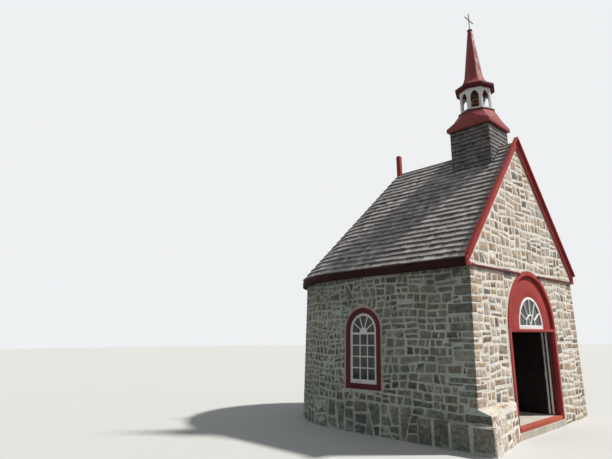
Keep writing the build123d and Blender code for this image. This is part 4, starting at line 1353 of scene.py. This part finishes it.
class ShingleRows:
    """Points of a shingle layout, with each shingle's turn, size and tone."""

    def __init__(self, seed):
        self.rng = random.Random(seed)
        self.points = []
        self.turns = []
        self.sizes = []
        self.tones = []

    def add(self, foot, up_slope, outward, size, lift, tone):
        """One shingle from the middle of its lower end."""
        across = up_slope.cross(outward).normalized()
        tilt = Matrix.Rotation(-lift / size[1], 3, across)
        up_tilted = (tilt @ up_slope).normalized()
        out_tilted = across.cross(up_tilted).normalized()
        base = Matrix((across, up_tilted, out_tilted)).transposed()
        turned = base @ Matrix.Rotation(self.rng.uniform(-0.018, 0.018), 3, "Z")
        self.points.append(foot + outward * lift)
        self.turns.append(tuple(turned.to_euler("XYZ")))
        self.sizes.append(size)
        self.tones.append(tone)

    def tone(self, weather=0.0):
        return min(1.0, max(0.0, self.rng.betavariate(2.2, 2.2) + weather))

    def uneven(self, row, along):
        """How far up or down a shingle lies from its row, by a slow wave and a little of its own."""
        wave = 0.020 * noise.noise(Vector((1.4 * along, 0.9 * row, 0.3)))
        shift = wave + self.rng.uniform(-0.007, 0.009)
        return shift if row else abs(shift)

    def side_by_side(self, start, end, low_edge, high_edge, slack, width, widths, least):
        """Edges of shingles beside each other, held within a low and a high edge."""
        place = start - self.rng.uniform(0.0, slack)
        while place < end:
            step = width * self.rng.uniform(*widths)
            low = max(low_edge, place)
            high = min(high_edge, place + step)
            place += step
            if high - low >= least:
                yield low, high

    def place(self, recipe, name):
        mesh = mesh_from(self.points)
        for label, values in (("turn", self.turns), ("size", self.sizes), ("tone", self.tones)):
            store(mesh, label, "POINT", values)
        recipe.place(mesh, name, "shingles")


class CHAPEL_OT_roof_shingles(bpy.types.Operator):
    """Rows of wooden shingles on both slopes, round the cone of the round end, and on the belfry"""
    bl_idname = "chapel.roof_shingles"
    bl_label = "Roof Shingles"

    def execute(self, context):
        settings = context.scene.chapel_shingles
        exposure = settings.exposure
        slope_length = math.hypot(EAVES_HALF, RIDGE - EAVES_Z)
        run = EAVES_HALF / slope_length
        rise = (RIDGE - EAVES_Z) / slope_length
        nave_end = NAVE + 0.03
        first_foot = 0.043
        side_gap = 0.003
        recipe = shingle_recipe("shingle")

        def courses(spare):
            """Each row's number, the way up the slope to its foot, and the length of its shingles."""
            row = 0
            while row * exposure < slope_length - spare:
                foot = row * exposure + first_foot
                yield row, foot, min(1.28 * exposure, slope_length - foot - 0.004)
                row += 1

        def lay(rows, point, x, y, width, length):
            """One shingle on a slope that faces along x and y."""
            size = (width, length, settings.butt * rows.rng.uniform(0.8, 1.15))
            rows.add(point, Vector((-x * run, -y * run, rise)), Vector((x * rise, y * rise, run)), size,
                     settings.butt * 0.9, rows.tone())

        for side, name in ((-1, "shingles_left_slope"), (1, "shingles_right_slope")):
            rows = ShingleRows(settings.seed + side)
            for row, foot, length in courses(0.09):
                for low, high in rows.side_by_side(0.0, nave_end, 0.002, nave_end, 0.1, settings.width,
                                                   (0.62, 1.42), 0.03):
                    centre = (low + high) / 2
                    up = foot + rows.uneven(row, centre + 4 * side)
                    x = side * (EAVES_HALF - up * run)
                    if abs(x) < BELFRY_HALF - 0.02 and abs(centre - BELFRY_Y) < BELFRY_HALF:
                        continue
                    lay(rows, Vector((x, centre, EAVES_Z + up * rise)), side, 0, high - low - 0.004, length)
            rows.place(recipe, name)

        rows = ShingleRows(settings.seed + 5)
        for row, foot, length in courses(0.05):
            reach = EAVES_HALF - foot * run
            turn = rows.rng.uniform(-0.03, -0.01)
            while turn < math.pi:
                width = max(0.028, min(settings.width, reach * 0.42)) * rows.rng.uniform(0.65, 1.35)
                step = width / reach
                middle_turn = turn + step / 2
                turn += step
                if middle_turn < 0 or middle_turn > math.pi:
                    continue
                up = foot + rows.uneven(row, 9 + middle_turn * reach)
                way = Vector((*on_circle(1, middle_turn), 0))
                point = Vector((0, NAVE, EAVES_Z + up * rise)) + way * (EAVES_HALF - up * run)
                lay(rows, point, way.x, way.y, width - side_gap, length)
        rows.place(recipe, "shingles_round_end")

        rows = ShingleRows(settings.seed + 9)
        exposure = settings.belfry_exposure
        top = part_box("belfry_base")[1].z
        for quarter in range(4):
            outward = Vector((*on_circle(1, quarter * math.pi / 2), 0))
            along = Vector((-outward.y, outward.x, 0))
            row = 0
            while top - row * exposure > roof_top(BELFRY_HALF):
                row += 1
                for low, high in rows.side_by_side(-BELFRY_HALF, BELFRY_HALF, -BELFRY_HALF - 0.010,
                                                   BELFRY_HALF + 0.010, 0.08, settings.width,
                                                   (0.45, 0.95), 0.025):
                    foot = Vector((0, BELFRY_Y, top - row * exposure + rows.rng.uniform(-0.006, 0.006)))
                    foot += outward * BELFRY_HALF + along * (low + high) / 2
                    if foot.z + exposure < roof_top(foot.x):
                        continue
                    foot.z = max(foot.z, roof_top(foot.x) - 0.03)
                    length = min(1.25 * exposure, top - foot.z)
                    if length < 0.02:
                        continue
                    size = (high - low - side_gap, length, settings.butt * 0.5)
                    rows.add(foot, Vector((0, 0, 1)), outward, size, settings.butt * 0.45,
                             rows.tone(rows.rng.uniform(-0.20, 0.12)))
        rows.place(shingle_recipe("belfry_shingle"), "shingles_belfry")
        for node in ("roof_slope_left", "roof_slope_right", "apse_roof", "belfry_base"):
            dress(node, "raw_wood")
        return {"FINISHED"}


def set_back(bm):
    """Move the face of a rake board back, so that its cap shades it."""
    for vert in bm.verts:
        if abs(vert.co.y - RAKE_FACE) < 0.0005:
            vert.co.y = 0.6 * RAKE_FACE


class CHAPEL_OT_roof_boards(bpy.types.Operator):
    """Ridge cap and post, rake boards, eaves boards and string course"""
    bl_idname = "chapel.roof_boards"
    bl_label = "Roof Boards"

    def execute(self, context):
        softened("ridge_cap", "ridge_boards", "mossy_wood", 0.005, "ridge_boards")
        softened("ridge_post", "post_on_ridge", "red_paint")
        softened("rake_board_left", "rake_left", "rake_paint", 0.004, "red_paint", change=set_back)
        softened("rake_board_right", "rake_right", "rake_paint", 0.004, "red_paint", change=set_back)
        softened("eaves_boards", "eaves", "eaves_paint", 0.003, "dark_red_paint")
        softened("string_course", "string_boards", "dark_red_paint", 0.004, "red_paint")
        return {"FINISHED"}


class CHAPEL_OT_doorway(bpy.types.Operator):
    """Door frame, panel, fanlight with its bars, leaves and hinges"""
    bl_idname = "chapel.doorway"
    bl_label = "Doorway"

    def execute(self, context):
        softened("door_jambs", "jambs", "red_paint", 0.003)
        softened("door_arch", "arch_board", "red_paint")
        softened("door_transom", "transom", "red_paint", 0.003)
        softened("door_threshold", "threshold", "threshold_paint", 0.006, "red_paint")
        softened("tympanum_panel", "arch_panel", "red_paint", 0.002)
        softened("fanlight_frame", "fanlight_rim", "white_paint")
        dress("fanlight_glass", "glass")
        dress("door_pintles", "iron")
        dress("floor", "flagstone")

        low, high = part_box("fanlight_glass")
        hub = 0.205
        bar_y = low.y - 0.004

        def at(distance, degrees):
            """Point in front of the glass, by its distance and turn from the fan's centre."""
            x, z = on_circle(distance, math.radians(degrees))
            return (x, bar_y, FANLIGHT_CENTRE + z)

        bars = Bars()
        for degrees in range(30, 151, 30):
            bars.add([at(hub, degrees), at((high.x - low.x) / 2 + 0.012, degrees)])
        bars.add([at(hub, degrees) for degrees in range(5, 176, 10)])
        for degrees in (62, 118):
            bars.add([(0.0, bar_y, low.z - 0.005), at(hub, degrees)])
        bars.place("fanlight_bars", 0.017)

        half_strap = 0.0225
        first_stud = 0.19
        stud_step = 0.1
        for side, hand in ((-1, "left"), (1, "right")):
            leaf = "door_leaf_" + hand
            straps = "strap_hinges_" + hand
            softened(leaf, "leaf_" + hand, "leaf_paint", 0.003, "dark_paint", leaf)
            softened(straps, "straps_" + hand, "iron", 0.0012, body=leaf)
            low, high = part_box(straps)
            points = [(side * (STRAP_FACE + 0.005), first_stud + stud_step * step, level)
                      for level in (low.z + half_strap, high.z - half_strap) for step in range(5)]
            studs = mesh_from(points)
            store(studs, "turn", "POINT", [(0.0, side * math.pi / 2, 0.0)] * len(points))
            stud_recipe("iron").place(studs, "strap_studs_" + hand, "iron", leaf)
        return {"FINISHED"}


class CHAPEL_OT_side_windows(bpy.types.Operator):
    """Window frames, sashes and their glazing bars"""
    bl_idname = "chapel.side_windows"
    bl_label = "Side Windows"

    def execute(self, context):
        softened("window_frames", "window_surrounds", "dark_red_paint")
        softened("window_sashes", "sashes", "white_paint", 0.003)
        dress("window_glass", "glass")
        low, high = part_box("window_glass")
        half = (high.y - low.y) / 2
        hub = 0.092
        overlap = 0.005
        bar_depth = 0.037
        down = WINDOW_SPRING - WINDOW_BAR_TOP
        bars = Bars()

        def add_bar(side, *path):
            """Bar through points given by their distance from the window's middle and their height."""
            bars.add([(side * (wall_half(z) - bar_depth), WINDOW_Y + across, z) for across, z in path])

        for side in (-1, 1):
            for step in (1, 2):
                across = 2 * half * step / 3 - half
                add_bar(side, (across, low.z - overlap), (across, WINDOW_BAR_BOTTOM + overlap))
            for step in (1, 2, 3):
                z = low.z + (WINDOW_BAR_BOTTOM - low.z) * step / 4
                add_bar(side, (-half - overlap, z), (half + overlap, z))
            for step in range(1, 5):
                turn = math.radians(36 * step)
                to_head = down * math.sin(turn) + math.sqrt(half ** 2 - (down * math.cos(turn)) ** 2)
                ends = [on_circle(distance, turn) for distance in (hub * 0.8, to_head + 0.006)]
                add_bar(side, *((across, WINDOW_BAR_TOP + up) for across, up in ends))
        bars.place("glazing_bars", 0.013)

        bm = bmesh.new()
        half_circle = [on_circle(hub, math.pi * step / 16) for step in range(17)]
        for side in (-1, 1):
            rings = []
            for depth in (0.052, 0.026):
                ring = []
                for across, up in half_circle:
                    z = WINDOW_BAR_TOP - 0.002 + up
                    ring.append(bm.verts.new((side * (wall_half(z) - depth), WINDOW_Y + across, z)))
                bm.faces.new(ring)
                rings.append(ring)
            for (first, after), (far, far_after) in zip(corners_of(rings[0]), corners_of(rings[1])):
                bm.faces.new((first, after, far_after, far))
        bmesh.ops.recalc_face_normals(bm, faces=bm.faces)
        ease(bm, [edge for edge in bm.edges if edge.calc_face_angle(0) > 1], 0.003)
        sharpen(bm)
        add_piece(mesh_of(bm), "sash_hubs", "white_paint", ("white_paint",))
        return {"FINISHED"}


class CHAPEL_OT_belfry(bpy.types.Operator):
    """Skirt roof, ring, lantern, spire and cross"""
    bl_idname = "chapel.belfry"
    bl_label = "Belfry"

    def execute(self, context):
        softened("belfry_skirt_roof", "skirt_roof", "belfry_paint", 0.004, "red_paint")
        softened("lantern_ring", "ring_under_lantern", "dark_red_paint")
        softened("lantern", "lantern_walls", "white_paint", 0.003)
        softened("spire_eaves", "eaves_of_spire", "dark_red_paint")
        softened("spire", "spire_roof", "belfry_paint", 0.003, "red_paint")
        softened("cross", "iron_cross", "iron", 0.0025)
        dress("bell_bearers", "raw_wood")
        return {"FINISHED"}


def add_turned(profile, centre, steps, name, slot, finish, node):
    """Closed shape turned about an upright axis, which stands for a node of the bell."""
    bm = bmesh.new()
    rings = []
    for radius, z in profile:
        turns = [2 * math.pi * step / steps for step in range(steps)] if radius > 1e-6 else [0.0]
        rings.append([bm.verts.new((centre[0] + x, centre[1] + y, z))
                      for x, y in (on_circle(radius, turn) for turn in turns)])
    for first, second in zip(rings, rings[1:]):
        for step in range(steps):
            after = (step + 1) % steps
            corners = dict.fromkeys((first[step % len(first)], first[after % len(first)],
                                     second[after % len(second)], second[step % len(second)]))
            if len(corners) > 2:
                bm.faces.new(corners)
    bmesh.ops.recalc_face_normals(bm, faces=bm.faces)
    sharpen(bm, 50)
    add_piece(mesh_of(bm), name, slot, (finish,), (node,), "bell")


class CHAPEL_OT_bell(bpy.types.Operator):
    """Bell with its lip and mouldings, headstock and clapper"""
    bl_idname = "chapel.bell"
    bl_label = "Bell"

    def execute(self, context):
        low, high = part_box("bell")
        centre = ((low.x + high.x) / 2, (low.y + high.y) / 2)
        shoulder = ((0.0, 0), (0.030, 0), (0.044, 0.003), (0.055, 0.011), (0.0625, 0.020), (0.0655, 0.028),
                    (0.069, 0.031), (0.069, 0.035), (0.0665, 0.038), (0.069, 0.060), (0.0735, 0.090),
                    (0.080, 0.118), (0.086, 0.136), (0.090, 0.139), (0.090, 0.143), (0.0895, 0.147),
                    (0.098, 0.163), (0.110, 0.178))
        lip = ((0.1185, 0.004), (0.1195, 0.001), (0.117, 0), (0.108, 0.002), (0.100, 0.013), (0.088, 0.030),
               (0.078, 0.052), (0.071, 0.080), (0.065, 0.115), (0.060, 0.150), (0.052, 0.170),
               (0.036, 0.180), (0.0, 0.181))
        profile = [(radius, high.z - down) for radius, down in shoulder]
        profile += [(radius, low.z + up) for radius, up in lip]
        add_turned(profile, centre, 56, "turned_bell", "bell_metal", "bell_metal", "bell")
        softened("bell_headstock", "headstock", "raw_wood", 0.003, "plain_wood", "bell")
        low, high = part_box("bell_clapper")
        ball = ((0.005, 0.056), (0.008, 0.054), (0.0135, 0.050), (0.0172, 0.042), (0.018, 0.034),
                (0.0165, 0.026), (0.012, 0.020), (0.0065, 0.016), (0.0055, 0.004), (0.004, 0), (0.0, 0))
        profile = [(0.0, high.z), (0.006, high.z), (0.005, high.z - 0.01)]
        profile += [(radius, low.z + up) for radius, up in ball]
        add_turned(profile, centre, 24, "turned_clapper", "iron", "iron", "bell_clapper")
        return {"FINISHED"}


TO_SUN = (0.478, -0.430, 0.766)
EYE = (-9.808, -3.899, 1.761)
VIEW_TURN = math.radians(-44.114)
VIEW_PITCH = math.radians(12.125)
VIEW_ROLL = math.radians(-0.406)


class CHAPEL_OT_studio(bpy.types.Operator):
    """Plain pale floor, soft light and the camera"""
    bl_idname = "chapel.studio"
    bl_label = "Studio"

    def execute(self, context):
        scene = context.scene
        settings = scene.chapel_stage
        scene.view_settings.view_transform = "Standard"

        bm = bmesh.new()
        bmesh.ops.create_circle(bm, cap_ends=True, radius=90, segments=96)
        floor = bpy.data.objects.new("studio_floor", mesh_of(bm))
        scene.collection.objects.link(floor)
        plain = Finish("studio_floor", Roughness=0.9)
        colour = tuple(settings.floor)
        tone = plain.ramp(plain.grain(0.6, 2, 0.5), (0.3, shade(colour, 0.98)), (0.7, colour))
        seen_floor = plain.get("ShaderNodeLightPath", "Is Camera Ray")
        colour = plain.blend(seen_floor, tuple(settings.bounce), tone)
        floor.data.materials.append(plain.set(Base_Color=colour))

        key = bpy.data.lights.new("key", "SUN")
        key.energy = settings.key
        key.angle = math.radians(3.5)
        key.color = (1.0, 0.975, 0.93)
        lamp = bpy.data.objects.new("key", key)
        lamp.rotation_euler = Vector(TO_SUN).to_track_quat("Z", "Y").to_euler()
        scene.collection.objects.link(lamp)

        scene.world = bpy.data.worlds.new("studio")
        scene.world.use_nodes = True
        sky = Tree(scene.world.node_tree)
        light = sky.nodes["Background"]
        sky.feed(light.inputs["Color"], (0.90, 0.955, 1.0))
        sky.feed(light.inputs["Strength"], settings.fill)
        seen = sky.get("ShaderNodeBackground", "Background", {"Color": tuple(settings.backdrop)})
        rays = sky.add("ShaderNodeLightPath").outputs
        is_seen = sky.math(rays["Is Camera Ray"], rays["Is Glossy Ray"], "MAXIMUM")
        is_seen = sky.math(is_seen, rays["Is Transmission Ray"], "MAXIMUM")
        both = sky.get("ShaderNodeMixShader", "Shader", {0: is_seen, 1: light.outputs["Background"], 2: seen})
        sky.feed(sky.nodes["World Output"].inputs["Surface"], both)

        level = Vector((math.cos(VIEW_TURN), math.sin(VIEW_TURN), 0))
        ahead = Vector((-math.sin(VIEW_TURN), math.cos(VIEW_TURN), 0))
        forward = ahead * math.cos(VIEW_PITCH) + Vector((0, 0, math.sin(VIEW_PITCH)))
        up = level.cross(forward)
        right = level * math.cos(VIEW_ROLL) + up * math.sin(VIEW_ROLL)
        top = up * math.cos(VIEW_ROLL) - level * math.sin(VIEW_ROLL)
        lens = bpy.data.cameras.new("camera")
        lens.lens = 29.09
        lens.sensor_width = 36
        lens.clip_end = 300
        camera = bpy.data.objects.new("camera", lens)
        camera.matrix_world = Matrix.Translation(EYE) @ Matrix((right, top, -forward)).transposed().to_4x4()
        scene.collection.objects.link(camera)
        scene.camera = camera
        return {"FINISHED"}


PIECES = (
    CHAPEL_OT_mortar_walls, CHAPEL_OT_rubble_stones, CHAPEL_OT_corner_stones, CHAPEL_OT_lime_bands,
    CHAPEL_OT_roof_shingles, CHAPEL_OT_roof_boards, CHAPEL_OT_doorway, CHAPEL_OT_side_windows,
    CHAPEL_OT_belfry, CHAPEL_OT_bell, CHAPEL_OT_studio,
)
SETTINGS = {
    "chapel_wall": ChapelWallSettings,
    "chapel_shingles": ChapelShingleSettings,
    "chapel_paint": ChapelPaintSettings,
    "chapel_stage": ChapelStageSettings,
}


class CHAPEL_PT_sidebar(bpy.types.Panel):
    """Settings and pieces of the chapel"""
    bl_idname = "CHAPEL_PT_sidebar"
    bl_label = "Stone Chapel"
    bl_space_type = "VIEW_3D"
    bl_region_type = "UI"
    bl_category = "Chapel"

    def draw(self, context):
        layout = self.layout
        for name, group in SETTINGS.items():
            box = layout.box()
            box.label(text=group.__doc__)
            for key in group.__annotations__:
                box.prop(getattr(context.scene, name), key)
        for operator in PIECES:
            layout.operator(operator.bl_idname)


def register():
    for name, group in SETTINGS.items():
        bpy.utils.register_class(group)
        setattr(bpy.types.Scene, name, bpy.props.PointerProperty(type=group))
    for operator in PIECES:
        bpy.utils.register_class(operator)
    bpy.utils.register_class(CHAPEL_PT_sidebar)


def unregister():
    bpy.utils.unregister_class(CHAPEL_PT_sidebar)
    for operator in reversed(PIECES):
        bpy.utils.unregister_class(operator)
    for name, group in SETTINGS.items():
        delattr(bpy.types.Scene, name)
        bpy.utils.unregister_class(group)


def main():
    """Make every piece and the stage."""
    register()
    for operator in PIECES:
        group, name = operator.bl_idname.split(".")
        getattr(getattr(bpy.ops, group), name)()
    bpy.context.view_layer.update()


if __name__ == "__main__":
    main()
